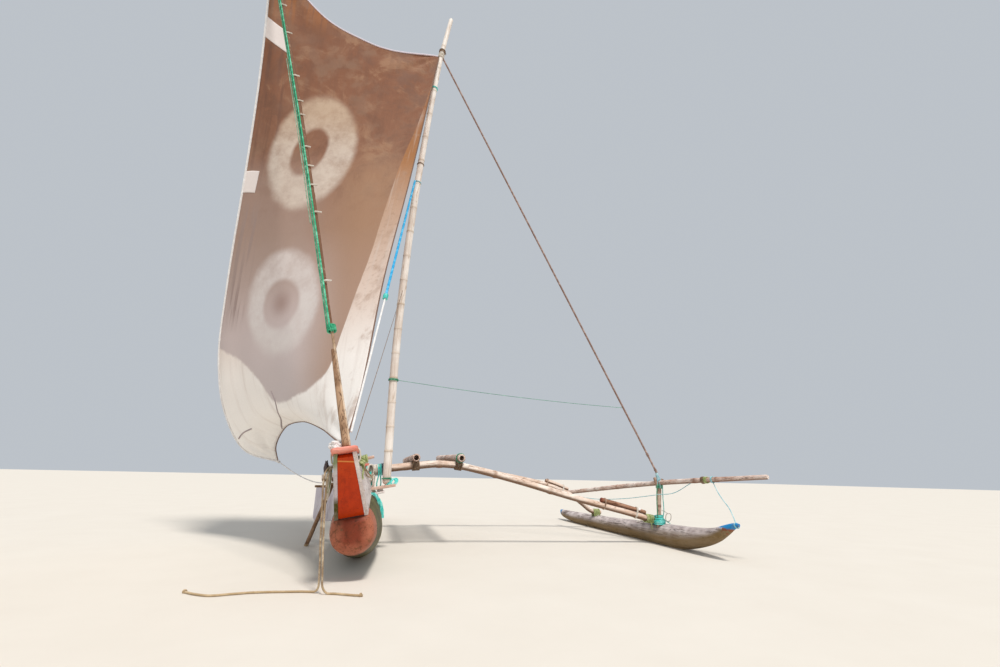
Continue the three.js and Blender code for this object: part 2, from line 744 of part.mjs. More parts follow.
function buildProp() {
  const lee = boomAt("fore", -330);
  let beside = lee.at.clone();
  let lean = Z.clone();
  for (let i = 0; i < 6; i++) {
    lean = beside.clone().sub(PROP_FOOT).normalize();
    beside = restOn(lee.at, lee.along, lean, BOOM_RADIUS + PROP_RADIUS + LET_IN + GAP, Y);
  }
  const top = beside.clone().addScaledVector(lean, 62);
  const buried = PROP_FOOT.clone().addScaledVector(lean, -40);
  const points = [buried, PROP_FOOT.clone().lerp(top, 0.5), top];
  const pole = spar({ points, radii: [PROP_RADIUS + 3, PROP_RADIUS], steps: 4, up: Y });
  const ground = box(-1200, 0, -1400, 0, -200, 0);
  place(canoe, "prop_pole", cut(pole, ground), "brownPole");
}

function buildLeeboard() {
  place(canoe, "leeboard_bar", barShape(), "brownPole");
  const { thick, top, bottom, height } = LEEBOARD;
  const head = BAR.z - BAR.radius - GAP;
  const inner = BAR.outer + 20 + top;
  const outline = [
    [inner, head],
    [BAR.outer + 20, head],
    [BAR.outer + 26, head - height + 40],
    [BAR.outer + 60, head - height],
    [inner - top + bottom, head - height],
    [inner - 10, head - height + 60],
  ];
  const face = (y) => outline.map(([x, z]) => vec(x, y, z));
  place(canoe, "leeboard", loft([face(BAR.y - thick / 2), face(BAR.y + thick / 2)]), "whitePaint");
}

// Bow ropes: both hang from the lee end of the peg to the ground. One then lies to the left, one to the right.
const PAINTER_UP = vec(0.3, 1, 0.2);
const PAINTERS = {
  painter_long: [
    [-240, -2960, 882],
    [-246, -2980, 874],
    [-260, -2994, 840],
    [-262, -3000, 760],
    [-252, -3004, 640],
    [-240, -3004, 500],
    [-226, -3002, 340],
    [-212, -2998, 200],
    [-204, -2992, 100],
    [-204, -2984, 40],
    [-222, -2970, 14],
    [-262, -2950, 9],
    [-330, -2934, 9],
    [-398, -2927, 9],
    [-530, -2912, 9],
    [-668, -2909, 9],
    [-790, -2930, 9],
    [-913, -2951, 9],
    [-1030, -2890, 9],
    [-1132, -2800, 9],
  ],
  painter_short: [
    [-218, -2960, 887],
    [-222, -2984, 880],
    [-232, -3006, 846],
    [-236, -3018, 760],
    [-228, -3026, 620],
    [-216, -3030, 460],
    [-200, -3032, 300],
    [-184, -3030, 150],
    [-170, -3026, 50],
    [-140, -3024, 12],
    [-80, -3040, 9],
    [-40, -3059, 9],
    [0, -3080, 9],
    [60, -3110, 9],
    [118, -3128, 9],
  ],
};

function buildPainters() {
  for (const [name, rows] of Object.entries(PAINTERS)) {
    const points = rows.map((row) => vec(...row));
    const radii = [PAINTER_RADIUS, PAINTER_RADIUS];
    const rope = spar({ points, radii, steps: 64, sides: 8, up: PAINTER_UP });
    place(canoe, name, cut(rope, pegShape(GAP).applyMatrix4(hullMatrix)), "strawRope");
  }
}

buildHull();
buildFloat();
buildSpar();
buildDeck();
buildMast();
buildSprit();
buildSail();
buildRigging();
buildProp();
buildLeeboard();
buildPainters();

export default canoe;
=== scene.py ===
# A sailing outrigger canoe at rest on its keel, dressed for its portrait.
# Metres, +Z up, +X towards the float, -Y towards the near end of the hull.
import math

import bmesh
import bpy
import numpy as np
from mathutils import Matrix, Vector, noise


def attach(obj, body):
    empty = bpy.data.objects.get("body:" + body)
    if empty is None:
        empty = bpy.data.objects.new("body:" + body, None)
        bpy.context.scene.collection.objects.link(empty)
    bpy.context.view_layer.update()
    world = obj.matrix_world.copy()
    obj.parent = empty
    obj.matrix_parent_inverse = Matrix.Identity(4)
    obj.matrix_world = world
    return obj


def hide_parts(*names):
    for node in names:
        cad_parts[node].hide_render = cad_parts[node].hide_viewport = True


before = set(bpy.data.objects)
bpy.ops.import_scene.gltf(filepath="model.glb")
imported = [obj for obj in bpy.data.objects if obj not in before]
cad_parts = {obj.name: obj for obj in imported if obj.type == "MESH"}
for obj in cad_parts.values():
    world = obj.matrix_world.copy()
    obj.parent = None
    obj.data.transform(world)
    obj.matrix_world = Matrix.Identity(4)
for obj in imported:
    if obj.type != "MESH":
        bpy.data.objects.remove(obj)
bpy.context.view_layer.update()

up = Vector((0, 0, 1))
aft = Vector((0, 1, 0))

# The hull's own frame: u across towards the float, y along, v square up from the keel
heel = math.radians(10)
hullPlace = Matrix.Translation((0.3 * math.sin(heel), 0, 0)) @ Matrix.Rotation(-heel, 4, "Y")


def fromHull(u, y, v):
    return hullPlace @ Vector((u, y, v))


print("camera")
portrait = {
    "place": (0.125, -6.87, 0.85),
    "heading": 14.557,  # degrees from +Y towards +X
    "pitch": 17.732,
    "roll": 1.203,
    "sensor": 36,
    "focalShare": 0.444,  # focal length over the picture's width
}


def buildCamera(look):
    data = bpy.data.cameras.new("camera")
    data.sensor_width = look["sensor"]
    data.lens = look["focalShare"] * look["sensor"]
    data.clip_end = 300
    camera = bpy.data.objects.new("camera", data)
    bpy.context.scene.collection.objects.link(camera)
    camera.matrix_world = (
        Matrix.Translation(look["place"])
        @ Matrix.Rotation(-math.radians(look["heading"]), 4, "Z")
        @ Matrix.Rotation(math.radians(90 + look["pitch"]), 4, "X")
        @ Matrix.Rotation(math.radians(look["roll"]), 4, "Z")
    )
    bpy.context.scene.camera = camera


buildCamera(portrait)


# Lines and skins

def smoothLine(points, perSpan=16):
    # the centripetal curve through the points, as short steps
    knots = [Vector(p) for p in points]
    knots = [2 * knots[0] - knots[1]] + knots + [2 * knots[-1] - knots[-2]]
    line = []
    for a, b, c, d in zip(knots, knots[1:], knots[2:], knots[3:]):
        before, here, after = (math.sqrt((q - p).length) for p, q in ((a, b), (b, c), (c, d)))
        leave = ((b - a) / before - (c - a) / (before + here) + (c - b) / here) * here
        reach = ((c - b) / here - (d - b) / (here + after) + (d - c) / after) * here
        for step in range(perSpan):
            t = step / perSpan
            bend = (3 * (c - b) - 2 * leave - reach) * t**2
            line.append(b + leave * t + bend + (2 * (b - c) + leave + reach) * t**3)
    line.append(knots[-2])
    return line


def lineLength(line):
    return sum((q - p).length for p, q in zip(line, line[1:]))


def evenly(line, count):
    # the same line in count steps of one length
    walked = [0]
    for p, q in zip(line, line[1:]):
        walked.append(walked[-1] + (q - p).length)
    table = np.array([tuple(p) for p in line])
    wanted = np.linspace(0, walked[-1], count + 1)
    return [Vector(p) for p in zip(*(np.interp(wanted, walked, table[:, k]) for k in range(3)))]


def sectionAxes(centres, side=None, closed=False):
    # two directions square to the line at each centre, turning as little as they can
    axes = []
    last = side
    for i, p in enumerate(centres):
        before = centres[i - 1] if i else centres[-2] if closed else p
        after = centres[i + 1] if i + 1 < len(centres) else centres[1] if closed else p
        along = (after - before).normalized()
        if last is None:
            last = along.orthogonal()
        across = last - along * last.dot(along)
        across.normalize()
        axes.append((across, along.cross(across)))
        if side is None:
            last = across
    return axes


def skin(bm, rings, closed=False, marks=None):
    # a rolled grid with its points put on the rings, capped at both ends or joined end to end
    around = len(rings[0])
    steps = len(rings) - 1
    uv = bm.loops.layers.uv.get("UVMap") or bm.loops.layers.uv.new("UVMap")
    mark = bm.verts.layers.float.get("mark") or bm.verts.layers.float.new("mark")
    made = bmesh.ops.create_grid(bm, x_segments=around, y_segments=steps, size=0.5, calc_uvs=True)["verts"]
    for vert in made:
        i = round((vert.co.x + 0.5) * around) % around
        j = round((vert.co.y + 0.5) * steps)
        vert.co = rings[j][i]
        vert[mark] = marks[j] if marks else 0
    middle = rings[steps // 2]
    girth = sum((q - p).length for p, q in zip(middle, middle[1:] + middle[:1]))
    length = sum((q[0] - p[0]).length for p, q in zip(rings, rings[1:]))
    faces = {face for vert in made for face in vert.link_faces}
    for face in faces:
        for loop in face.loops:
            loop[uv].uv = (loop[uv].uv.x * girth, loop[uv].uv.y * length)
    bmesh.ops.remove_doubles(bm, verts=made, dist=1e-6)
    if not closed:
        rims = {edge for face in faces if face.is_valid for edge in face.edges if edge.is_boundary}
        bmesh.ops.holes_fill(bm, edges=list(rims), sides=0)


def between(values, share):
    # a value from a list spread evenly from 0 to 1
    place = min(max(share, 0), 1) * (len(values) - 1)
    low = min(int(place), len(values) - 2)
    return values[low] + (values[low + 1] - values[low]) * (place - low)


def pole(bm, line, radii, sides=24, spacing=0.04, rough=0.03, seed=0, knobs=(), endRound=0.012):
    # an uneven round timber; knobs are (share, swell, half length in metres, mark)
    length = lineLength(line)
    steps = max(4, round(length / spacing))
    stops = [length * i / steps for i in range(steps + 1)]
    stops += [share * length + off * half for share, _, half, _ in knobs for off in (-1, -0.4, 0, 0.4, 1)]
    stops = sorted(s for s in stops if endRound < s < length - endRound)
    stops = [0, endRound, *stops, length - endRound, length]
    dense = evenly(line, 400)
    centres = [between(dense, s / length) for s in stops]
    rings = []
    marks = []
    for s, p, (across, over) in zip(stops, centres, sectionAxes(centres)):
        radius = between(radii, s / length)
        mark = 0
        for share, swell, half, shade in knobs:
            near = max(0, 1 - abs(s - share * length) / half)
            radius += swell * near * near * (3 - 2 * near)
            mark = max(mark, shade * near)
        if s in (0, length):
            radius *= 0.8
        ring = []
        for k in range(sides):
            angle = 2 * math.pi * k / sides
            way = across * math.cos(angle) + over * math.sin(angle)
            grain = noise.noise(way * 1.6 + Vector((seed, s * 2.2, seed * 3)))
            fine = noise.noise(way * 5 + Vector((seed * 2, s * 14, seed)))
            ring.append(p + way * radius * (1 + rough * grain + rough * 0.3 * fine))
        rings.append(ring)
        marks.append(mark)
    skin(bm, rings, marks=marks)


def rope(bm, line, radius, sides=12, turn=None, closed=False, side=None):
    # three strands laid together; turn is the length in which a strand goes once round
    turn = turn or radius * 7
    length = lineLength(line)
    centres = evenly(line, max(6, round(length / (turn / 7))))
    strands = 3
    whole = max(1, round(length / turn)) if closed else length / turn
    rings = []
    for j, (p, (across, over)) in enumerate(zip(centres, sectionAxes(centres, side, closed))):
        ring = []
        for k in range(sides):
            angle = 2 * math.pi * k / sides
            lay = strands * (angle - 2 * math.pi * whole * j / (len(centres) - 1)) / 2
            way = across * math.cos(angle) + over * math.sin(angle)
            ring.append(p + way * radius * (0.83 + 0.17 * abs(math.cos(lay))))
        rings.append(ring)
    if closed:
        rings[-1] = [p.copy() for p in rings[0]]
    skin(bm, rings, closed=closed)
    return centres


def loopRound(centre, across, over, halfWidth, halfHeight, square=0.8):
    # a closed oval line, a little square, for a turn of rope
    line = []
    count = 28
    for k in range(count):
        angle = 2 * math.pi * k / count
        c, s = math.cos(angle), math.sin(angle)
        x = math.copysign(abs(c) ** square, c) * halfWidth
        y = math.copysign(abs(s) ** square, s) * halfHeight
        line.append(centre + across * x + over * y)
    return line + [line[0].copy()]


def lash(bm, centre, along, over, half, turns, radius, slant=0.0, seed=0, square=0.9):
    # turns of rope side by side round something that runs along; half is (width, height) of the oval
    centre, along = Vector(centre), Vector(along).normalized()
    over = (Vector(over) - along * along.dot(Vector(over))).normalized()
    across = along.cross(over)
    spread = turns * radius * 1.9
    for turn in range(turns):
        share = (turn + 0.5) / turns - 0.5
        wobble = noise.noise(Vector((seed + turn * 1.7, seed, 0.3)))
        lean = slant + wobble * 0.08
        tilted = (across + along * lean).normalized()
        middle = centre + along * (share * spread + wobble * radius * 0.5)
        swell = radius * 0.35 * abs(noise.noise(Vector((turn * 2.3, seed, 5.1))))
        line = loopRound(
            middle, tilted, over, half[0] + radius + swell, half[1] + radius + swell, square=square,
        )
        rope(bm, line, radius, sides=8, closed=True, side=tilted.cross(over))


def tail(bm, start, way, length, radius, seed=0):
    # a loose rope's end that leaves in one direction and hangs down
    start, way = Vector(start), Vector(way).normalized()
    points = [start]
    for step in range(1, 7):
        t = step / 6
        side = Vector(
            (noise.noise(Vector((seed, t * 2, 0))), noise.noise(Vector((0, seed, t * 2))), 0)
        ) * 0.16
        drop = -up * (t**1.4) * length
        points.append(start + way * length * 0.5 * t * (1 - t * 0.55) + drop + side * length)
    rope(bm, smoothLine(points), radius, sides=8)


def cutFlat(bm, level=0.0002):
    # a flat underside, just above the ground
    everything = bm.verts[:] + bm.edges[:] + bm.faces[:]
    cut = bmesh.ops.bisect_plane(bm, geom=everything, plane_co=(0, 0, level), plane_no=up, clear_inner=True)
    rim = [e for e in cut["geom_cut"] if isinstance(e, bmesh.types.BMEdge)]
    bmesh.ops.holes_fill(bm, edges=rim, sides=0)


def settle(bm, name, body, material, stands=(), sharp=40):
    bmesh.ops.recalc_face_normals(bm, faces=bm.faces)
    mesh = bpy.data.meshes.new(name)
    bm.to_mesh(mesh)
    bm.free()
    mesh.shade_smooth()
    mesh.set_sharp_from_angle(angle=math.radians(sharp))
    mesh.materials.append(material)
    piece = bpy.data.objects.new(name, mesh)
    bpy.context.scene.collection.objects.link(piece)
    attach(piece, body)
    if stands:
        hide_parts(*stands)
    return piece


def wornCopy(node, body, material, wear=0.004):
    # a sawn piece as the model has it, with its edges worn round
    bm = bmesh.new()
    bm.from_mesh(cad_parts[node].data)
    bmesh.ops.remove_doubles(bm, verts=bm.verts, dist=1e-5)
    bmesh.ops.dissolve_limit(bm, angle_limit=math.radians(0.3), verts=bm.verts, edges=bm.edges)
    crisp = [e for e in bm.edges if e.is_manifold and e.calc_face_angle() > math.radians(35)]
    bmesh.ops.bevel(
        bm, geom=crisp, offset=wear, segments=3, affect="EDGES", profile=0.5, material=-1,
        clamp_overlap=True,
    )
    bmesh.ops.remove_doubles(bm, verts=bm.verts, dist=1e-5)
    return settle(bm, node + "_worn", body, material, [node])


# Materials

def paint(code):
    # a web colour as the linear values that the shaders take
    parts = [int(code[i : i + 2], 16) / 255 for i in (1, 3, 5)]
    return (*[c / 12.92 if c <= 0.04045 else ((c + 0.055) / 1.055) ** 2.4 for c in parts], 1.0)


def node(tree, kind, inputs=None, **settings):
    made = tree.nodes.new("ShaderNode" + kind)
    for key, value in settings.items():
        setattr(made, key, value)
    for key, value in (inputs or {}).items():
        if isinstance(value, bpy.types.NodeSocket):
            tree.links.new(value, made.inputs[key])
        else:
            made.inputs[key].default_value = value
    return made


def maths(tree, operation, *values, clamp=False):
    made = node(tree, "Math", dict(enumerate(values)), operation=operation, use_clamp=clamp)
    return made.outputs[0]


def times(tree, a, b):
    return maths(tree, "MULTIPLY", a, b)


def plus(tree, a, b):
    return maths(tree, "ADD", a, b)


def minus(tree, a, b):
    return maths(tree, "SUBTRACT", a, b)


def inverse(tree, value):
    return minus(tree, 1.0, value)


def blend(tree, factor, a, b):
    a, b = (paint(c) if isinstance(c, str) else c for c in (a, b))
    made = node(tree, "Mix", {0: factor, 6: a, 7: b}, data_type="RGBA")
    return made.outputs[2]


def ramp(tree, value, low, high):
    # from 0 at low to 1 at high, smoothly
    inputs = {0: value, 1: low, 2: high, 3: 0.0, 4: 1.0}
    return node(tree, "MapRange", inputs, interpolation_type="SMOOTHSTEP").outputs[0]


def runOf(tree, value, stops):
    # colours along a value, as (place, colour) stops
    made = node(tree, "ValToRGB", {0: value})
    band = made.color_ramp
    for place, _ in stops[2:]:
        band.elements.new(place)
    for element, (place, code) in zip(band.elements, stops):
        element.position = place
        element.color = paint(code)
    return made.outputs[0]


def speckle(tree, vector, scale, detail=4.0, roughness=0.55, distortion=0.0):
    inputs = {
        "Vector": vector, "Scale": scale, "Detail": detail, "Roughness": roughness,
        "Distortion": distortion,
    }
    return node(tree, "TexNoise", inputs).outputs[0]


def uneven(tree, place, scale, amount):
    # a small shift to either side that makes an edge wander
    return times(tree, minus(tree, speckle(tree, place, scale), 0.5), amount)


def stretched(tree, vector, scale):
    return node(tree, "Mapping", {"Vector": vector, "Scale": scale}).outputs[0]


def newGroup(name, inputs, outputs):
    tree = bpy.data.node_groups.new(name, "ShaderNodeTree")
    for label, kind, value in inputs:
        socket = tree.interface.new_socket(label, in_out="INPUT", socket_type="NodeSocket" + kind)
        if value is not None:
            socket.default_value = value
    for label, kind in outputs:
        tree.interface.new_socket(label, in_out="OUTPUT", socket_type="NodeSocket" + kind)
    return tree, tree.nodes.new("NodeGroupInput"), tree.nodes.new("NodeGroupOutput")


def buildGrain():
    inputs = [("Vector", "Vector", None), ("Fineness", "Float", 30.0)]
    tree, start, end = newGroup(
        "timber grain", inputs, [("Streaks", "Float"), ("Cracks", "Float"), ("Height", "Float")],
    )
    vector, fineness = start.outputs[0], start.outputs[1]
    broad = speckle(tree, vector, fineness, 5.0, 0.6, 0.3)
    fine = speckle(tree, vector, times(tree, fineness, 3.1), 4.0, 0.7)
    split = speckle(tree, vector, times(tree, fineness, 0.8), 2.0, 0.5, 0.6)
    off = maths(tree, "ABSOLUTE", minus(tree, split, 0.5))
    cracks = inverse(tree, ramp(tree, off, 0.0, 0.022))
    streaks = ramp(tree, plus(tree, times(tree, broad, 0.65), times(tree, fine, 0.35)), 0.34, 0.66)
    height = minus(tree, streaks, times(tree, cracks, 0.9))
    for label, value in (("Streaks", streaks), ("Cracks", cracks), ("Height", height)):
        tree.links.new(value, end.inputs[label])
    return tree


def buildBlotches():
    inputs = [
        ("Vector", "Vector", None), ("Size", "Float", 0.3), ("Cover", "Float", 0.5),
        ("Edge", "Float", 0.08),
    ]
    tree, start, end = newGroup("blotches", inputs, [("Mask", "Float")])
    vector, size, cover, edge = (start.outputs[i] for i in range(4))
    scale = maths(tree, "DIVIDE", 1.0, size)
    value = speckle(tree, vector, scale, 7.0, 0.62, 0.2)
    level = minus(tree, 0.78, times(tree, cover, 0.56))
    low = minus(tree, level, edge)
    high = plus(tree, level, edge)
    tree.links.new(ramp(tree, value, low, high), end.inputs["Mask"])
    return tree


def buildDust():
    inputs = [("Position", "Vector", None), ("Level", "Float", 0.2)]
    tree, start, end = newGroup("dust", inputs, [("Mask", "Float")])
    height = node(tree, "SeparateXYZ", {0: start.outputs[0]}).outputs[2]
    rough = speckle(tree, start.outputs[0], 9.0, 6.0, 0.65)
    edge = times(tree, start.outputs[1], plus(tree, rough, 0.35))
    low = inverse(tree, ramp(tree, height, times(tree, edge, 0.2), edge))
    tree.links.new(low, end.inputs["Mask"])
    return tree


def buildRopeLay():
    inputs = [("UV", "Vector", None), ("Thickness", "Float", 0.02)]
    tree, start, end = newGroup("rope lay", inputs, [("Groove", "Float"), ("Fibre", "Float")])
    parts = node(tree, "SeparateXYZ", {0: start.outputs[0]})
    across = maths(tree, "DIVIDE", parts.outputs[0], start.outputs[1])
    along = maths(tree, "DIVIDE", parts.outputs[1], start.outputs[1])
    lay = minus(tree, times(tree, across, 3.0), times(tree, along, 2.7))
    wave = maths(tree, "ABSOLUTE", maths(tree, "SINE", lay))
    joined = node(tree, "CombineXYZ", {0: times(tree, lay, 2.2), 1: times(tree, along, 0.6)})
    tree.links.new(wave, end.inputs["Groove"])
    tree.links.new(speckle(tree, joined.outputs[0], 2.4, 5.0, 0.7), end.inputs["Fibre"])
    return tree


def buildWeave():
    inputs = [("UV", "Vector", None), ("Threads", "Float", 600.0)]
    tree, start, end = newGroup("cloth weave", inputs, [("Thread", "Float"), ("Slub", "Float")])
    parts = node(tree, "SeparateXYZ", {0: start.outputs[0]})
    waves = []
    for axis in (0, 1):
        turned = times(tree, parts.outputs[axis], start.outputs[1])
        waves.append(maths(tree, "SINE", turned))
    thread = times(tree, waves[0], waves[1])
    slub = speckle(tree, stretched(tree, start.outputs[0], (40.0, 2.5, 1.0)), 3.0, 4.0, 0.6)
    tree.links.new(maths(tree, "MULTIPLY_ADD", thread, 0.5, 0.5), end.inputs["Thread"])
    tree.links.new(slub, end.inputs["Slub"])
    return tree


groups = {
    "grain": buildGrain(),
    "blotches": buildBlotches(),
    "dust": buildDust(),
    "lay": buildRopeLay(),
    "weave": buildWeave(),
}


def useGroup(tree, name, inputs):
    return node(tree, "Group", inputs, node_tree=groups[name]).outputs


def blotches(tree, vector, size, cover, edge=0.08):
    return useGroup(tree, "blotches", {"Vector": vector, "Size": size, "Cover": cover, "Edge": edge})[0]


def newMaterial(name):
    material = bpy.data.materials.new(name)
    material.use_nodes = True
    tree = material.node_tree
    tree.nodes.clear()
    shader = node(tree, "BsdfPrincipled")
    output = node(tree, "OutputMaterial")
    tree.links.new(shader.outputs[0], output.inputs["Surface"])
    return material, tree, shader


def dress(tree, shader, colour, roughness, height, distance):
    tree.links.new(colour, shader.inputs["Base Color"])
    tree.links.new(roughness, shader.inputs["Roughness"])
    bump = node(tree, "Bump", {"Height": height, "Distance": distance})
    tree.links.new(bump.outputs[0], shader.inputs["Normal"])
    # dry, weathered surfaces shine little
    shader.inputs["Specular IOR Level"].default_value = 0.2


def timber(name, look):
    # bare wood: run is the axis the grain follows
    material, tree, shader = newMaterial(name)
    place = node(tree, "TexCoord").outputs["Object"]
    run = [1.0, 1.0, 1.0]
    run["xyz".index(look["run"])] = 0.06
    grain = useGroup(
        tree, "grain", {"Vector": stretched(tree, place, run), "Fineness": look.get("fineness", 32.0)},
    )
    colour = blend(tree, grain["Streaks"], look["dark"], look["base"])
    colour = blend(tree, blotches(tree, place, 0.35, 0.45, 0.12), colour, look["pale"])
    colour = blend(
        tree, blotches(tree, stretched(tree, place, [r**0.5 for r in run]), 0.12, look.get("stain", 0.25)),
        colour, look["stained"],
    )
    colour = blend(tree, times(tree, grain["Cracks"], 0.7), colour, look["deep"])
    if "under" in look:
        # painted shade: faces that turn downwards are darkened towards the under colour, as if in shadow,
        # while the tops stay pale
        facing = node(tree, "SeparateXYZ", {0: node(tree, "NewGeometry").outputs["Normal"]}).outputs[2]
        shade = inverse(tree, ramp(tree, facing, look.get("from", -0.75), look.get("turn", 0.1)))
        colour = blend(tree, times(tree, shade, look.get("shade", 0.8)), colour, look["under"])
    mark = node(tree, "Attribute", attribute_name="mark").outputs["Fac"]
    colour = blend(
        tree, maths(tree, "MULTIPLY", mark, 0.85, clamp=True), colour, look.get("mark", look["deep"]),
    )
    for colouring in look.get("painted", ()):
        colour = colouring(tree, place, colour)
    dust = useGroup(tree, "dust", {"Position": place, "Level": look.get("dust", 0.12)})[0]
    colour = blend(tree, times(tree, dust, 0.7), colour, "#cdb48c")
    rough = maths(tree, "MULTIPLY_ADD", grain["Streaks"], -0.12, look.get("rough", 0.82))
    dress(tree, shader, colour, rough, grain["Height"], look.get("relief", 0.0016))
    return material


def painted(name, look):
    # old brushed paint over wood: it has chipped, streaked and gathered dirt
    material, tree, shader = newMaterial(name)
    place = node(tree, "TexCoord").outputs["Object"]
    run = [1.0, 1.0, 1.0]
    run["xyz".index(look["run"])] = 0.08
    grain = useGroup(tree, "grain", {"Vector": stretched(tree, place, run), "Fineness": 26.0})
    wood = blend(tree, grain["Streaks"], look["woodDark"], look["wood"])
    colour = blend(tree, grain["Streaks"], look["dark"], look["base"])
    colour = blend(tree, blotches(tree, place, 0.5, 0.4, 0.16), colour, look["faded"])
    for colouring in look.get("painted", ()):
        colour = colouring(tree, place, colour)
    colour = blend(
        tree, times(tree, blotches(tree, stretched(tree, place, run), 0.06, 0.3, 0.1), 0.5), colour,
        look["grime"],
    )
    chips = blotches(tree, stretched(tree, place, [r**0.4 for r in run]), 0.07, look["chipped"], 0.015)
    colour = blend(tree, chips, colour, wood)
    colour = blend(tree, times(tree, grain["Cracks"], 0.45), colour, look["grime"])
    dust = useGroup(tree, "dust", {"Position": place, "Level": look.get("dust", 0.14)})[0]
    colour = blend(tree, times(tree, dust, 0.75), colour, "#cdb48c")
    rough = maths(tree, "MULTIPLY_ADD", chips, 0.3, look["rough"])
    lifted = minus(tree, times(tree, grain["Height"], 0.35), chips)
    dress(tree, shader, colour, rough, lifted, look.get("relief", 0.0012))
    return material


def cordage(name, tones, thick):
    base, dark, faded, deep = tones.split()
    material, tree, shader = newMaterial(name)
    sources = node(tree, "TexCoord")
    lay = useGroup(tree, "lay", {"UV": sources.outputs["UV"], "Thickness": thick})
    colour = blend(tree, lay["Fibre"], dark, base)
    colour = blend(tree, blotches(tree, sources.outputs["Object"], 0.06, 0.4, 0.14), colour, faded)
    # painted shade: the grooves between the strands are darkened towards the deep tone
    groove = inverse(tree, ramp(tree, lay["Groove"], 0.05, 0.45))
    colour = blend(tree, times(tree, groove, 0.65), colour, deep)
    dust = useGroup(tree, "dust", {"Position": sources.outputs["Object"], "Level": 0.1})[0]
    colour = blend(tree, times(tree, dust, 0.5), colour, "#c9ae85")
    height = plus(tree, times(tree, lay["Groove"], 0.6), times(tree, lay["Fibre"], 0.5))
    rough = maths(tree, "MULTIPLY_ADD", lay["Fibre"], 0.2, 0.75)
    dress(tree, shader, colour, rough, height, 0.0012)
    return material


def noseShade(colourCode):
    # the nose is darker along its middle, where the end board's red runs into it
    def apply(tree, place, colour):
        parts = node(tree, "SeparateXYZ", {0: place})
        jitter = uneven(tree, place, 9.0, 0.10)
        aside = maths(tree, "ABSOLUTE", plus(tree, parts.outputs[0], 0.012))
        middle = inverse(tree, ramp(tree, plus(tree, aside, jitter), 0.045, 0.14))
        low = ramp(tree, plus(tree, parts.outputs[2], jitter), 0.22, 0.34)
        near = ramp(tree, times(tree, parts.outputs[1], -1.0), 2.50, 2.58)
        mask = times(tree, times(tree, middle, low), near)
        return blend(tree, times(tree, mask, 0.85), colour, colourCode)
    return apply


def plankTones(tree, place, colour):
    # the lee plank's near end is olive low down, a painted shade that stands for the shaded log flank
    # behind it, pale above and mossy under the cap
    parts = node(tree, "SeparateXYZ", {0: place})
    jitter = uneven(tree, place, 16.0, 0.08)
    level = plus(tree, parts.outputs[2], jitter)
    tones = runOf(tree, level, [(0.60, "#4c4719"), (0.66, "#cdc6cc"), (0.84, "#c9c4c4"), (0.92, "#7f8c66")])
    near = ramp(tree, times(tree, parts.outputs[1], -1.0), 2.62, 2.80)
    lee = inverse(tree, ramp(tree, parts.outputs[0], -0.09, -0.07))
    return blend(tree, times(tree, near, lee), colour, tones)


def boardJoint(tree, place, colour):
    # the end board is of two lengths, and bare wood shows at their joint
    height = node(tree, "SeparateXYZ", {0: place}).outputs[2]
    off = maths(tree, "ABSOLUTE", minus(tree, height, 0.930))
    line = inverse(tree, ramp(tree, off, 0.002, 0.007))
    colour = blend(tree, times(tree, ramp(tree, height, 0.46, 0.60), 0.8), "#b03402", colour)
    return blend(tree, times(tree, line, 0.8), colour, "#dc9850")


def endStripe(axis, past, colourCode, edge=0.03, above=None):
    # a coat of colour past a place on an axis, with an uneven brushed edge: paint on the log and float,
    # partly painted shade on the sprit
    def apply(tree, place, colour):
        parts = node(tree, "SeparateXYZ", {0: place})
        jitter = uneven(tree, place, 14.0, edge * 2.5)
        value = plus(tree, parts.outputs["xyz".index(axis)], jitter)
        sign = 1 if past > 0 else -1
        mask = ramp(tree, times(tree, value, sign), abs(past) - 0.006, abs(past) + 0.006)
        if above:
            level = plus(tree, parts.outputs[2], jitter)
            mask = times(tree, mask, ramp(tree, minus(tree, level, above), -0.01, 0.01))
        worn = inverse(tree, times(tree, blotches(tree, place, 0.05, 0.3, 0.05), 0.55))
        return blend(tree, times(tree, mask, worn), colour, colourCode)
    return apply


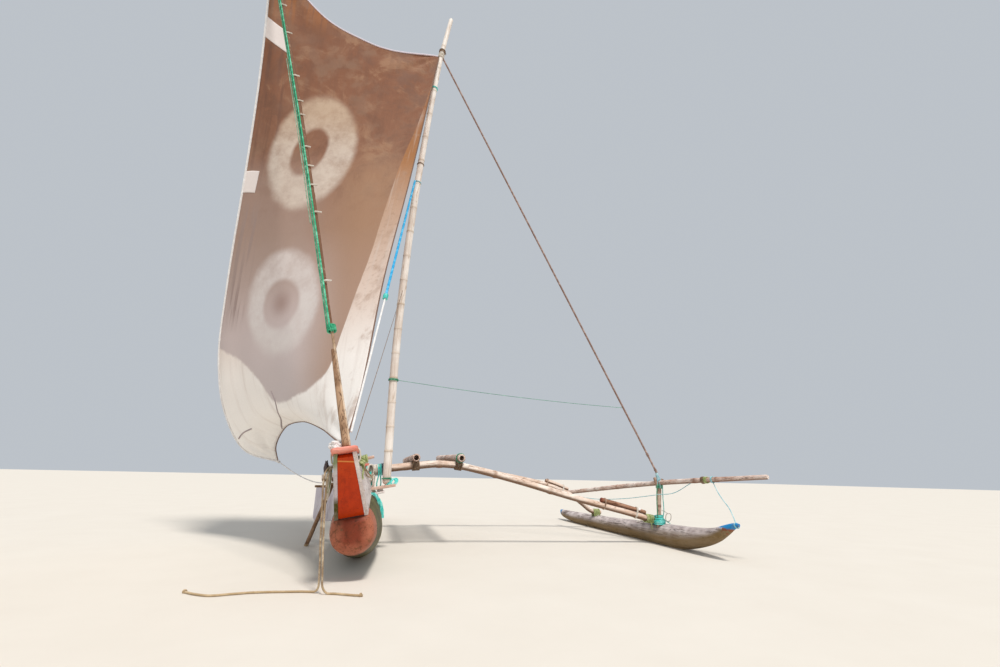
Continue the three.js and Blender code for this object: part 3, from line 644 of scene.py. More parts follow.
finishes = {
    "log": painted("painted dugout", {
        "run": "y", "base": "#4e491f", "dark": "#353112", "faded": "#625c30", "grime": "#262210",
        "wood": "#7d6448", "woodDark": "#544130", "chipped": 0.14, "rough": 0.55, "dust": 0.06,
        "painted": (
            endStripe("y", -2.50, "#a9654c", 0.04),
            noseShade("#6c2510"),
            endStripe("y", 2.50, "#a45c48", 0.04),
        ),
    }),
    "plank": painted("whitewashed planks", {
        "run": "y", "base": "#e2d6d2", "dark": "#c8bab6", "faded": "#efe6e2", "grime": "#a2948e",
        "wood": "#b89a84", "woodDark": "#8d705a", "chipped": 0.18, "rough": 0.6, "dust": 0.03,
        "painted": (plankTones,),
    }),
    "end_board": painted("orange end board", {
        "run": "z", "base": "#c63a06", "dark": "#b03004", "faded": "#cc480e", "grime": "#8c2604",
        "wood": "#9a4a2c", "woodDark": "#6e3018", "chipped": 0.03, "rough": 0.42, "relief": 0.0008,
        "dust": 0.02, "painted": (boardJoint,),
    }),
    "end_cap": painted("salmon cap", {
        "run": "x", "base": "#e27862", "dark": "#cc5f48", "faded": "#f2a898", "grime": "#a05342",
        "wood": "#b98e74", "woodDark": "#8d6650", "chipped": 0.16, "rough": 0.5,
    }),
    "leeboard": painted("pale leeboard", {
        "run": "z", "base": "#f1ecf4", "dark": "#d9d1de", "faded": "#f8f5fa", "grime": "#a499aa",
        "wood": "#b59b86", "woodDark": "#8d7463", "chipped": 0.10, "rough": 0.5, "dust": 0.05,
    }),
    "inner_wood": timber("inner boards", {
        "run": "x", "base": "#e0c4b4", "dark": "#b58a74", "pale": "#ecd9cd", "stained": "#b5674a",
        "deep": "#6c4434", "stain": 0.18, "dust": 0.02,
    }),
    "pole": timber("brown poles", {
        "run": "z", "base": "#9c7a5e", "dark": "#73533b", "pale": "#b08f72", "stained": "#654832",
        "deep": "#3a2416", "mark": "#c9b08a", "dust": 0.04,
    }),
    "sprit": timber("sprit pole", {
        "run": "z", "base": "#b59a80", "dark": "#8b6d54", "pale": "#d6bfa6", "stained": "#84614a",
        "deep": "#5c4030", "mark": "#b79878", "dust": 0.02, "stain": 0.12,
        # above the green knot the pole is darker brown: partly its own colour, partly painted shade
        "painted": (endStripe("z", 2.08, "#76543f", 0.02),),
    }),
    "bamboo": timber("bamboo", {
        "run": "z", "base": "#e6dbd2", "dark": "#d4c5b8", "pale": "#f0e8e0", "stained": "#c9b3a2",
        "deep": "#b49a82", "mark": "#b39c80", "stain": 0.10, "rough": 0.5, "fineness": 16.0,
        "relief": 0.0004,
        "dust": 0.02,
    }),
    # the timbers from here on that have an under colour get painted shade on their downward faces
    "boom": timber("boom timber", {
        "run": "x", "base": "#e6d0c0", "dark": "#c8aa95", "pale": "#f0e2d6", "stained": "#c09a80",
        "deep": "#8a664c", "under": "#70503a", "shade": 0.9, "from": -0.6, "turn": 0.15, "mark": "#8a6448",
    }),
    "splice": timber("splice timber", {
        "run": "x", "base": "#b48a72", "dark": "#80583f", "pale": "#cba58d", "stained": "#6a4430",
        "deep": "#3a2218", "under": "#54382a", "mark": "#7a3424",
    }),
    "float_wood": timber("float timber", {
        "run": "y", "base": "#cabdbb", "dark": "#968884", "pale": "#ddd2cf", "stained": "#75675f",
        "deep": "#2f2721", "under": "#80683f", "from": -0.25, "turn": 0.60, "shade": 0.9, "stain": 0.3,
        "dust": 0.04,
        "relief": 0.003,
        "painted": (
            endStripe("y", -2.30, "#8f5a40", 0.10),
            endStripe("y", -2.16, "#2a8fd0", 0.02, above=0.335),
            endStripe("y", 2.46, "#2f8fca", 0.03),
        ),
    }),
    "spar_wood": timber("spar timber", {
        "run": "y", "base": "#e2c8ba", "dark": "#bb9886", "pale": "#efe0d6", "stained": "#a98472",
        "deep": "#5c4638", "under": "#7a5c4c", "shade": 0.8, "turn": -0.2, "mark": "#7a4a30",
    }),
    "post_wood": timber("post timber", {
        "run": "z", "base": "#bb9a86", "dark": "#8d6a56", "pale": "#d3b9a6", "stained": "#7a4636",
        "deep": "#4a3020", "mark": "#6f3024", "stain": 0.3,
    }),
    "cane": timber("deck cane", {
        "run": "y", "base": "#d6b8a8", "dark": "#a88878", "pale": "#ead6c9", "stained": "#7d5c48",
        "deep": "#4a3428", "mark": "#6a4a38", "under": "#5f4434", "shade": 0.7, "rough": 0.6, "stain": 0.15,
    }),
    "slat": timber("deck slats", {
        "run": "x", "base": "#b39273", "dark": "#7e6049", "pale": "#cbb095", "stained": "#58412f",
        "deep": "#33241a", "under": "#6b503a", "shade": 0.5,
    }),
    # cordage: its base, dark, faded and deep tones, the deep one painted as shade in the grooves, and the
    # thickness its pattern is made for
    "brown_rope": cordage("coir rope", "#8f7560 #5c4636 #a48d78 #33251b", 0.012),
    "pale_rope": cordage("bleached rope", "#e6ddd0 #b9ad9d #f1ece4 #776c60", 0.008),
    "teal_rope": cordage("teal rope", "#5ee2d8 #37bdb2 #a8efe8 #1f8f86", 0.008),
    "green_rope": cordage("green rope", "#4da07c #2c6b50 #80bf9f #183f30", 0.006),
    "straw_rope": cordage("straw rope", "#b8a084 #735a40 #d6c4a8 #4a3822", 0.008),
    "boom_rope": cordage("sun bleached coir", "#b59a86 #80624e #ceb7a4 #4c3828", 0.010),
    "leaf_rope": cordage("pale green rope", "#8fae94 #66876d #b4c8b4 #46604c", 0.006),
    "stay_rope": cordage("mauve stay rope", "#a3867a #77594e #bda398 #4f3a33", 0.016),
    "white_rope": cordage("white rope", "#f4f2f0 #dcd8d6 #fbfafa #aeaaa8", 0.010),
    "sea_rope": cordage("sea green rope", "#45b98c #2b8f66 #84dab6 #175f45", 0.010),
    "azure_rope": cordage("azure rope", "#3fb6ea #2793cc #74cdf2 #175f8c", 0.010),
    "cyan_rope": cordage("cyan rope", "#a9dbe2 #6fb0bb #d3eef0 #3d717a", 0.007),
    "straw_green": cordage("yellow green rope", "#b2ba78 #687a48 #dde2b0 #36401f", 0.008),
    "dark_rope": cordage("dark blue rope", "#4a5560 #262b33 #7b8b98 #14171c", 0.012),
}

print("bow ropes")
painterRoutes = {
    "painter_long": [
        (-0.240, -2.960, 0.882), (-0.246, -2.980, 0.874), (-0.260, -2.994, 0.840), (-0.262, -3.000, 0.760),
        (-0.252, -3.004, 0.640), (-0.240, -3.004, 0.500), (-0.226, -3.002, 0.340), (-0.212, -2.998, 0.200),
        (-0.204, -2.992, 0.100), (-0.204, -2.984, 0.040), (-0.222, -2.970, 0.014), (-0.262, -2.950, 0.009),
        (-0.330, -2.934, 0.009), (-0.398, -2.927, 0.009), (-0.530, -2.912, 0.009), (-0.668, -2.909, 0.009),
        (-0.790, -2.930, 0.009), (-0.913, -2.951, 0.009), (-1.030, -2.890, 0.009), (-1.132, -2.800, 0.009),
    ],
    "painter_short": [
        (-0.218, -2.960, 0.887), (-0.222, -2.984, 0.880), (-0.232, -3.006, 0.846), (-0.236, -3.018, 0.760),
        (-0.228, -3.026, 0.620), (-0.216, -3.030, 0.460), (-0.200, -3.032, 0.300), (-0.184, -3.030, 0.150),
        (-0.170, -3.026, 0.050), (-0.140, -3.024, 0.012), (-0.080, -3.040, 0.009), (-0.040, -3.059, 0.009),
        (0.000, -3.080, 0.009), (0.060, -3.110, 0.009), (0.118, -3.128, 0.009),
    ],
}
painterRadius = 0.008


def buildPainters():
    for name, points in painterRoutes.items():
        line = smoothLine(points)
        bm = bmesh.new()
        centres = rope(bm, line, painterRadius, turn=0.056)
        piece = settle(
            bm, name.replace("painter", "bow_rope"), "hull", finishes["straw_rope"], [name],
        )
        knot = bmesh.new()
        end = centres[-3] + up * 0.003
        way = (centres[-1] - centres[-6]).normalized()
        lash(knot, end, way, up, (painterRadius, painterRadius * 0.7), 2, 0.004, seed=len(name))
        whipping = settle(knot, piece.name + "_whipping", "hull", finishes["straw_rope"])


buildPainters()

print("hull")
hullShape = {
    # y, half width, keel height, height of the widest point, flat top's height and half width
    "log": [
        (0, 0.250, 0, 0.300, 0.580, 0.160),
        (1.500, 0.248, 0, 0.300, 0.580, 0.160),
        (1.900, 0.236, 0.062, 0.330, 0.575, 0.155),
        (2.350, 0.208, 0.150, 0.362, 0.555, 0.150),
        (2.620, 0.188, 0.200, 0.372, 0.525, 0.145),
        (2.740, 0.172, 0.230, 0.368, 0.500, 0.138),
        (2.772, 0.150, 0.262, 0.364, 0.478, 0.112),
    ],
    # y, half width at the slot, half width inside, floor height
    "hollow": [
        (0, 0.120, 0.200, 0.075),
        (1.500, 0.120, 0.197, 0.078),
        (2.000, 0.116, 0.172, 0.165),
        (2.450, 0.108, 0.118, 0.260),
    ],
}


def stationsBetween(rows, spacing):
    # rows for both ends, with more put between them along straight runs
    rows = [(-row[0], *row[1:]) for row in rows[:0:-1]] + list(rows)
    ys = [row[0] for row in rows]
    count = round((ys[-1] - ys[0]) / spacing)
    wanted = sorted(set(ys) | set(np.linspace(ys[0], ys[-1], count + 1)))
    columns = [np.interp(wanted, ys, [row[k] for row in rows]) for k in range(1, len(rows[0]))]
    return list(zip(wanted, *columns))


def logRing(y, half, keel, waist, top, topHalf, lower=28, shoulder=6):
    crown = (top - waist) / math.sqrt(1 - (topHalf / half) ** 2)
    slope = math.asin((top - waist) / crown)
    ring = []
    for i in range(lower + 1):
        a = math.pi + math.pi * i / lower
        adze = 0.002 * noise.noise(Vector((a * 3, y * 5, 0)))
        ring.append(fromHull((half - 0.002 + adze) * math.cos(a), y, waist + (waist - keel) * math.sin(a)))
    for i in range(1, shoulder + 1):
        a = slope * i / shoulder
        ring.append(fromHull(half * math.cos(a), y, waist + crown * math.sin(a)))
    for i in range(shoulder, 0, -1):
        a = math.pi - slope * i / shoulder
        ring.append(fromHull(half * math.cos(a), y, waist + crown * math.sin(a)))
    return ring


def hollowRing(y, slot, inside, floor):
    right = [(0.62 * inside, floor + 0.02), (inside, 0.340), (slot, 0.520), (slot, 0.700)]
    left = [(-u, v) for u, v in reversed(right)]
    return [fromHull(u, y, v) for u, v in [*left, (0, floor), *right]]


def buildLog():
    bm = bmesh.new()
    skin(bm, [logRing(*row) for row in stationsBetween(hullShape["log"], 0.12)])
    bmesh.ops.recalc_face_normals(bm, faces=bm.faces)
    ends = [e for e in bm.edges if min(abs(v.co.y) for v in e.verts) > 2.771]
    bmesh.ops.bevel(
        bm, geom=ends, offset=0.03, segments=5, affect="EDGES", profile=0.5, material=-1,
        clamp_overlap=True,
    )
    log = settle(bm, "dugout_log_worn", "hull", finishes["log"], ["dugout_log"])
    cutter = bmesh.new()
    skin(cutter, [hollowRing(*row) for row in stationsBetween(hullShape["hollow"], 0.5)])
    bmesh.ops.recalc_face_normals(cutter, faces=cutter.faces)
    mesh = bpy.data.meshes.new("hollow")
    cutter.to_mesh(mesh)
    cutter.free()
    tool = bpy.data.objects.new("hollow", mesh)
    bpy.context.scene.collection.objects.link(tool)
    scoop = log.modifiers.new("hollow", "BOOLEAN")
    scoop.object = tool
    scoop.operation = "DIFFERENCE"
    scoop.solver = "EXACT"
    bpy.context.view_layer.update()
    evaluated = log.evaluated_get(bpy.context.evaluated_depsgraph_get())
    carved = bpy.data.meshes.new_from_object(evaluated)
    log.modifiers.clear()
    log.data = carved
    bpy.data.objects.remove(tool)
    bm = bmesh.new()
    bm.from_mesh(carved)
    cutFlat(bm, 0)
    bm.to_mesh(carved)
    bm.free()


def buildHull():
    buildLog()
    for name in ("plank_float_side", "plank_lee_side"):
        wornCopy(name, "hull", finishes["plank"], wear=0.005)
    for end in ("near", "far"):
        wornCopy("end_board_" + end, "hull", finishes["end_board"], wear=0.008)
        wornCopy("end_cap_" + end, "hull", finishes["end_cap"], wear=0.009)
    for number in range(1, 5):
        wornCopy(f"thwart_{number}", "hull", finishes["inner_wood"], wear=0.004)
    for name in ("mast_step", "mast_step_lower", "mast_step_chock"):
        slot = "inner_wood" if name == "mast_step" else "plank"
        wornCopy(name, "hull", finishes[slot], wear=0.004)
    bm = bmesh.new()
    ends = [fromHull(u, -2.95, 0.932 + 0.1 * u) for u in (-0.15, 0, 0.215)]
    pole(bm, ends, [0.014, 0.015, 0.012], sides=16, spacing=0.03, rough=0.08, endRound=0.004)
    settle(bm, "bow_peg_worn", "hull", finishes["inner_wood"], ["bow_peg"])


buildHull()

print("outrigger")
boomLines = {
    "fore": [
        (0.420, 0.926), (0.640, 0.950), (0.880, 0.974), (1.139, 0.961), (1.513, 0.890), (1.895, 0.802),
        (2.286, 0.702), (2.686, 0.599), (3.125, 0.493), (3.560, 0.392), (3.850, 0.322), (4.080, 0.303),
    ],
    "aft": [
        (0.420, 0.934), (0.756, 0.976), (1.103, 1.010), (1.461, 0.990), (1.953, 0.903), (2.457, 0.826),
        (3.124, 0.690), (3.530, 0.535), (3.730, 0.405), (3.900, 0.285), (4.080, 0.256),
    ],
}
outrigger = {
    "boomY": {"fore": -0.950, "aft": 0.930},
    "boomLee": {"fore": -0.400, "aft": -0.330},  # how far a boom reaches past the lee plank
    "boomRadius": 0.045,
    "boomTip": 0.040,
    "rest": 0.820 + 0.045 - 0.006,  # a boom's centre above the keel, where it lies on the planks
    "floatX": 4.015,
    # y, underside, top, half width
    "float": [
        (-2.462, 0.368, 0.400, 0.014), (-2.380, 0.330, 0.398, 0.040), (-2.250, 0.248, 0.368, 0.070),
        (-2.080, 0.156, 0.322, 0.092), (-1.770, 0.056, 0.290, 0.112), (-1.400, -0.004, 0.280, 0.122),
        (-0.950, -0.006, 0.262, 0.124),
        (-0.400, -0.006, 0.250, 0.122), (0.300, -0.006, 0.228, 0.118), (0.930, -0.006, 0.215, 0.114),
        (1.700, -0.004, 0.203, 0.108), (2.200, 0.025, 0.198, 0.092), (2.520, 0.080, 0.196, 0.052),
        (2.620, 0.130, 0.186, 0.014),
    ],
    "splices": {"fore": (3.120, 3.800), "aft": (3.020, 3.440)},  # from and to, along x
    "spliceRadius": 0.032,
    "letIn": 0.003,
}


def boomLine(end):
    y = outrigger["boomY"][end]
    points = [fromHull(u, 0, outrigger["rest"]) for u in (outrigger["boomLee"][end], -0.1, 0.23)]
    points = [Vector((p.x, y, p.z)) for p in points]
    return smoothLine(points + [Vector((x, y, z)) for x, z in boomLines[end]])


def whereOn(line, axis, value):
    # place and direction where a line first crosses a value on an axis
    for p, q in zip(line, line[1:]):
        if (p[axis] - value) * (q[axis] - value) <= 0 and p[axis] != q[axis]:
            return p.lerp(q, (value - p[axis]) / (q[axis] - p[axis])), (q - p).normalized()
    return line[-1], (line[-1] - line[-2]).normalized()


def boomAt(end, x):
    return whereOn(boomLine(end), 0, x)


def restOn(point, carrier, resting, distance, side=up):
    normal = carrier.cross(resting).normalized()
    if normal.dot(side) < 0:
        normal.negate()
    return point + normal * (distance - outrigger["letIn"])


def buildBooms():
    knots = {
        "fore": [(0.30, 0.006, 0.05, 0.5), (0.46, 0.005, 0.04, 0.6), (0.63, 0.006, 0.05, 0.5)],
        "aft": [(0.34, 0.006, 0.05, 0.5), (0.57, 0.006, 0.05, 0.6)],
    }
    for seed, end in enumerate(("fore", "aft")):
        bm = bmesh.new()
        radii = [outrigger["boomRadius"] - 0.001] * 2 + [outrigger["boomTip"] - 0.001]
        pole(bm, boomLine(end), radii, rough=0.05, seed=seed + 1, knobs=knots[end])
        settle(bm, f"boom_{end}_timber", "hull", finishes["boom"], [f"boom_{end}"])
        start, stop = outrigger["splices"][end]
        seats = []
        for i in range(5):
            at, along = boomAt(end, start + (stop - start) * i / 4)
            seats.append(restOn(at, along, aft, outrigger["boomTip"] + outrigger["spliceRadius"]))
        bm = bmesh.new()
        pole(
            bm, smoothLine(seats), [0.032, 0.030, 0.027], rough=0.06, seed=seed + 5,
            knobs=[(0.0, 0.0, 0.05, 1.0)],
        )
        finish = finishes["splice" if end == "fore" else "boom"]
        settle(bm, f"boom_splice_{end}_timber", "hull", finish, [f"boom_splice_{end}"])


def floatRing(y, low, top, half, sides=28):
    ring = []
    for k in range(sides):
        a = 2 * math.pi * k / sides + math.pi / 2
        way = Vector((math.cos(a), 0, math.sin(a)))
        dent = 1 + 0.025 * noise.noise(Vector((way.x * 1.5, y * 2.5, way.z * 1.5))) - 0.015
        z = (low + top) / 2 + (top - low) / 2 * way.z * dent
        ring.append(Vector((outrigger["floatX"] + half * way.x * dent, y, z)))
    return ring


def buildFloat():
    rows = outrigger["float"]
    ends = smoothLine([(row[0], row[1], row[2]) for row in rows], perSpan=5)
    widths = smoothLine([(row[0], row[3], 0) for row in rows], perSpan=5)
    bm = bmesh.new()
    skin(bm, [floatRing(p.x, p.y, p.z, w.y) for p, w in zip(ends, widths)])
    cutFlat(bm)
    settle(bm, "float_timber", "hull", finishes["float_wood"], ["float"])


buildBooms()
buildFloat()

spar = {
    "post": (3.945, -1.050),
    "crotch": Vector((4.003, -1.050, 0.795)),
    "near": [(4.364, -2.600, 0.894)],
    "radius": 0.034,
}


def sparLine():
    at, along = boomAt("aft", 3.530)
    lie = (spar["crotch"] - at).normalized()
    onBoom = restOn(at, along, lie, outrigger["boomTip"] + 0.002 + spar["radius"])
    run = spar["crotch"] - onBoom
    return smoothLine([onBoom - run * 0.09, onBoom, spar["crotch"], *spar["near"]])


def buildSpar():
    bm = bmesh.new()
    knobs = [
        (0.22, 0.003, 0.04, 0.4), (0.36, 0.003, 0.03, 0.5), (0.745, 0.002, 0.06, 0.9),
        (0.83, 0.003, 0.03, 0.6),
    ]
    pole(bm, sparLine(), [0.033, 0.033, 0.033, 0.026], rough=0.05, seed=9, knobs=knobs)
    settle(bm, "float_spar_timber", "hull", finishes["spar_wood"], ["float_spar"])
    crotch = spar["crotch"]
    x, y = spar["post"]
    legs = [
        (
            [(x, y, 0.180), ((x + crotch.x) / 2, y, 0.500), (crotch.x, y, 0.745)], 0.029,
            [(0.55, 0.003, 0.03, 0.9)],
        ),
        (
            [(crotch.x - 0.004, y, 0.725), (crotch.x - 0.046, y, 0.790), (crotch.x - 0.062, y, 0.868)],
            0.0205, [],
        ),
        (
            [(crotch.x + 0.004, y, 0.725), (crotch.x + 0.046, y, 0.790), (crotch.x + 0.058, y, 0.850)],
            0.0205, [],
        ),
    ]
    shape = {"sides": 20, "spacing": 0.03, "rough": 0.06, "endRound": 0.006}
    bm = bmesh.new()
    for seed, (points, radius, knobs) in enumerate(legs):
        pole(bm, smoothLine(points), [radius, radius], seed=seed, knobs=knobs, **shape)
    settle(bm, "crutch_post_timber", "hull", finishes["post_wood"], ["crutch_post"])


buildSpar()

print("deck")
deck = {
    "poles": [("deck_pole_inner", 0.600, 0.150, 0.130), ("deck_pole_outer", 1.145, 0.150, 0.130)],
    "poleRadius": 0.052,
    "slats": 13,
    "slatWidth": 0.060,
    "slatThick": 0.014,
    "overhang": 0.030,
    "from": -0.780,
    "to": 0.760,
    "battens": (0.780, 0.980),
}


def deckSeats(x):
    seats = []
    for end in ("fore", "aft"):
        at, along = boomAt(end, x)
        seats.append(restOn(at, along, aft, outrigger["boomRadius"] + deck["poleRadius"]))
    return seats


def buildDeck():
    for seed, (name, x, near, far) in enumerate(deck["poles"]):
        seats = deckSeats(x)
        run = seats[1] - seats[0]
        span = run.length
        line = [seats[0] - run * near / span, seats[0].lerp(seats[1], 0.5), seats[1] + run * far / span]
        bm = bmesh.new()
        knobs = [(share, 0.0015, 0.03, 0.7) for share in (0.12, 0.31, 0.52, 0.71, 0.9)]
        pole(bm, line, [deck["poleRadius"] - 0.002] * 2, sides=28, rough=0.02, seed=seed + 20, knobs=knobs)
        caps = [f for f in bm.faces if len(f.verts) > 8]
        bmesh.ops.inset_region(bm, faces=caps, thickness=0.009, use_even_offset=True)
        for cap in caps:
            inwards = (line[1] - cap.calc_center_median()).normalized()
            depth = bmesh.ops.extrude_face_region(bm, geom=[cap])
            bmesh.ops.translate(
                bm, verts=[v for v in depth["geom"] if isinstance(v, bmesh.types.BMVert)],
                vec=inwards * 0.12,
            )
            bmesh.ops.delete(bm, geom=[cap], context="FACES")
        settle(bm, name + "_cane", "hull", finishes["cane"], [name])
    inner, outer = (deckSeats(row[1]) for row in deck["poles"])

    def slatTop(x, y):
        # the slats hang close under the poles
        heights = [s[0].z + (s[1].z - s[0].z) * (y - s[0].y) / (s[1].y - s[0].y) for s in (inner, outer)]
        share = (x - inner[0].x) / (outer[0].x - inner[0].x)
        return heights[0] + (heights[1] - heights[0]) * share - deck["poleRadius"] + outrigger["letIn"]

    bm = bmesh.new()
    ends = (inner[0].x - deck["overhang"], outer[0].x + deck["overhang"])
    for i in range(deck["slats"]):
        y = deck["from"] + (deck["to"] - deck["from"]) * i / (deck["slats"] - 1)
        worn = noise.noise(Vector((i * 3.1, 0.5, 0.2)))
        rings = []
        for step in range(9):
            x = ends[0] + (ends[1] - ends[0]) * step / 8 - (0.012 * worn if step == 8 else 0)
            lift = slatTop(x, y) - deck["slatThick"] / 2
            half = deck["slatWidth"] / 2 * (0.94 + 0.05 * noise.noise(Vector((i * 2.0, step * 0.5, 1))))
            ring = []
            for k in range(16):
                a = 2 * math.pi * k / 16
                dy = math.copysign(abs(math.cos(a)) ** 0.6, math.cos(a)) * half
                dz = math.copysign(abs(math.sin(a)) ** 0.8, math.sin(a)) * deck["slatThick"] / 2
                ring.append(Vector((x, y + dy, lift + dz)))
            rings.append(ring)
        skin(bm, rings)
    for x in deck["battens"]:
        rings = []
        for step in range(13):
            y = deck["from"] - 0.04 + (deck["to"] - deck["from"] + 0.08) * step / 12
            middle = Vector((x, y, slatTop(x, y) + 0.009))
            rings.append(
                [
                    middle + Vector((0.019 * math.cos(a), 0, 0.012 * math.sin(a)))
                    for a in np.linspace(0, 2 * math.pi, 13)[:-1]
                ]
            )
        skin(bm, rings)
    settle(bm, "deck_slats_split", "hull", finishes["slat"], ["deck_slats"])


buildDeck()

print("mast and sprit")
mastFoot = fromHull(0.333, -1.150, 0.669 + 0.050 + 0.0003)
mastLine = [
    (0.246, 1.150), (0.226, 1.900), (0.222, 2.600), (0.240, 3.500), (0.290, 4.700), (0.376, 6.000),
    (0.500, 7.440), (0.622, 8.330),
]
mast = {
    "radii": [0.049, 0.0505, 0.0485, 0.0425, 0.0345], "firstNode": 1.105, "nodeGap": 0.29,
    "gapGrowth": 1.035, "lastNode": 8.2, "top": 8.33,
}


def mastPoints():
    return [mastFoot] + [Vector((x, mastFoot.y, z)) for x, z in mastLine]


def mastAt(z):
    return whereOn(smoothLine(mastPoints()), 2, z)


def mastRadius(z):
    return between(mast["radii"], (z - mastFoot.z) / (mast["top"] - mastFoot.z))


def buildMast():
    line = smoothLine(mastPoints())
    length = lineLength(line)
    knobs = []
    z, gap = mast["firstNode"], mast["nodeGap"]
    while z < mast["lastNode"]:
        share = (z - mastFoot.z) / length
        knobs.append((share, 0.0038, 0.022, 0.4 if len(knobs) % 3 else 0.8))
        knobs.append((share + 0.0016, -0.0016, 0.006, 0.5))
        z += gap
        gap *= mast["gapGrowth"]
    bm = bmesh.new()
    pole(bm, line, mast["radii"], sides=32, spacing=0.06, rough=0.018, seed=31, knobs=knobs)
    ball = bmesh.ops.create_uvsphere(bm, u_segments=32, v_segments=14, radius=0.0485)["verts"]
    bmesh.ops.translate(bm, verts=ball, vec=mastFoot)
    settle(bm, "mast_bamboo", "rig", finishes["bamboo"], ["mast"])


spritShape = {
    "foot": Vector((-0.098, -3.124, 1.000)),
    "head": Vector((-2.205, -1.385, 8.500)),
    "bow": 0.036,
    "upperRadii": [0.011, 0.014, 0.024, 0.030, 0.029, 0.025, 0.022],
    "lowerRadii": [0.028, 0.026, 0.021, 0.015],
    "lowerTop": 0.115,  # where the second pole ends, as a share of the whole
    # from and to along the pole, how far aside and in front of its middle, radius
    "ropes": [
        ("sea_rope", "teal_rope", 0.141, 0.985, 0.014, 0.034, 0.0095),
        ("green_rope", "green_rope", 0.141, 0.985, 0.034, 0.020, 0.0085),
        ("leaf_rope", "teal_rope", 0.295, 0.640, 0.056, 0.014, 0.0055),
    ],
    "ties": (0.204, 0.312, 0.360, 0.396, 0.434, 0.502, 0.534, 0.595, 0.710, 0.794, 0.88),
}


def spritAt(share):
    p = spritShape["foot"].lerp(spritShape["head"], share)
    p.x += spritShape["bow"] * math.sin(math.pi * share)
    return p


spritRun = (spritShape["head"] - spritShape["foot"]).normalized()
spritLeft = Vector((-1, 0, 0)) - spritRun * Vector((-1, 0, 0)).dot(spritRun)
spritLeft.normalize()
spritFront = spritLeft.cross(spritRun)


def buildSprit():
    bm = bmesh.new()
    start = 0.006
    upper = []
    for i in range(25):
        share = start + (1 - start) * i / 24
        aside = 0.016 * max(0, 1 - share / 0.16)
        upper.append(spritAt(share) - spritLeft * aside)
    knobs = [(0.34, 0.003, 0.04, 0.1), (0.52, 0.003, 0.05, 0.1), (0.71, 0.002, 0.04, 0.1)]
    pole(bm, upper, spritShape["upperRadii"], sides=20, spacing=0.05, rough=0.05, seed=41, knobs=knobs)
    settle(bm, "sprit_upper_pole", "rig", finishes["sprit"], ["sprit"])
    bm = bmesh.new()
    lower = [
        spritAt(start + (spritShape["lowerTop"] - start) * i / 8) + spritLeft * 0.012 for i in range(9)
    ]
    pole(bm, lower, spritShape["lowerRadii"], sides=20, spacing=0.04, rough=0.06, seed=43)
    settle(bm, "sprit_lower_pole", "rig", finishes["pole"])
    for name, slot, first, last, side, near, radius in spritShape["ropes"]:
        bm = bmesh.new()
        line = []
        for i in range(30):
            share = first + (last - first) * i / 29
            slack = 0.004 * noise.noise(Vector((share * 14, side * 90, 0)))
            line.append(spritAt(share) + spritLeft * (side + slack) - spritFront * near)
        rope(bm, line, radius, sides=8)
        settle(bm, "sprit_" + name, "rig", finishes[name])
    bm = bmesh.new()
    for number, share in enumerate(spritShape["ties"]):
        at = spritAt(share)
        over = at - spritFront * 0.036
        sides = [
            at + spritLeft * 0.034 - spritFront * 0.012, over, over - spritLeft * 0.032
            + spritFront * 0.004,
        ]
        rope(
            bm,
            smoothLine(
                [*sides, over - spritLeft * (0.058 + 0.006 * math.sin(number)) + spritFront * 0.012]
            ), 0.0085, sides=8,
        )
    settle(bm, "sprit_ties", "rig", finishes["pale_rope"])
    bm = bmesh.new()
    lash(bm, spritAt(0.141), spritRun, spritFront, (0.026, 0.026), 4, 0.0085, seed=5)
    lash(bm, spritAt(0.141), Vector((1, 0, 0.5)), spritFront, (0.022, 0.034), 2, 0.008, seed=6)
    settle(bm, "sprit_green_knot", "rig", finishes["sea_rope"])


buildMast()
buildSprit()

print("sail")
sailEdges = {
    "tack": (-0.131, -3.052, 1.066),
    "clew": (-1.164, -0.100, 0.976),
    "throat": (0.470, -1.155, 7.440),
    "peak": (-2.178, -1.372, 8.385),
    "foot": [
        (-1.178, -0.300, 1.148), (-1.032, -0.700, 1.363), (-0.751, -1.300, 1.392), (-0.423, -2.100, 1.248),
        (-0.204, -2.790, 1.096),
    ],
    "head": [
        (-1.892, -1.320, 8.079), (-1.544, -1.280, 7.721), (-1.209, -1.250, 7.475), (-0.762, -1.220, 7.332),
        (-0.328, -1.200, 7.271),
    ],
    "leech": [
        (-1.584, -0.120, 1.105), (-1.882, -0.220, 1.577), (-2.042, -0.350, 2.241), (-2.068, -0.550, 3.195),
        (-2.041, -0.900, 4.926), (-2.069, -1.150, 6.562),
    ],
    "luff": [(-0.077, -2.700, 1.552), (0.001, -2.100, 2.932), (0.193, -1.600, 4.729)],
}
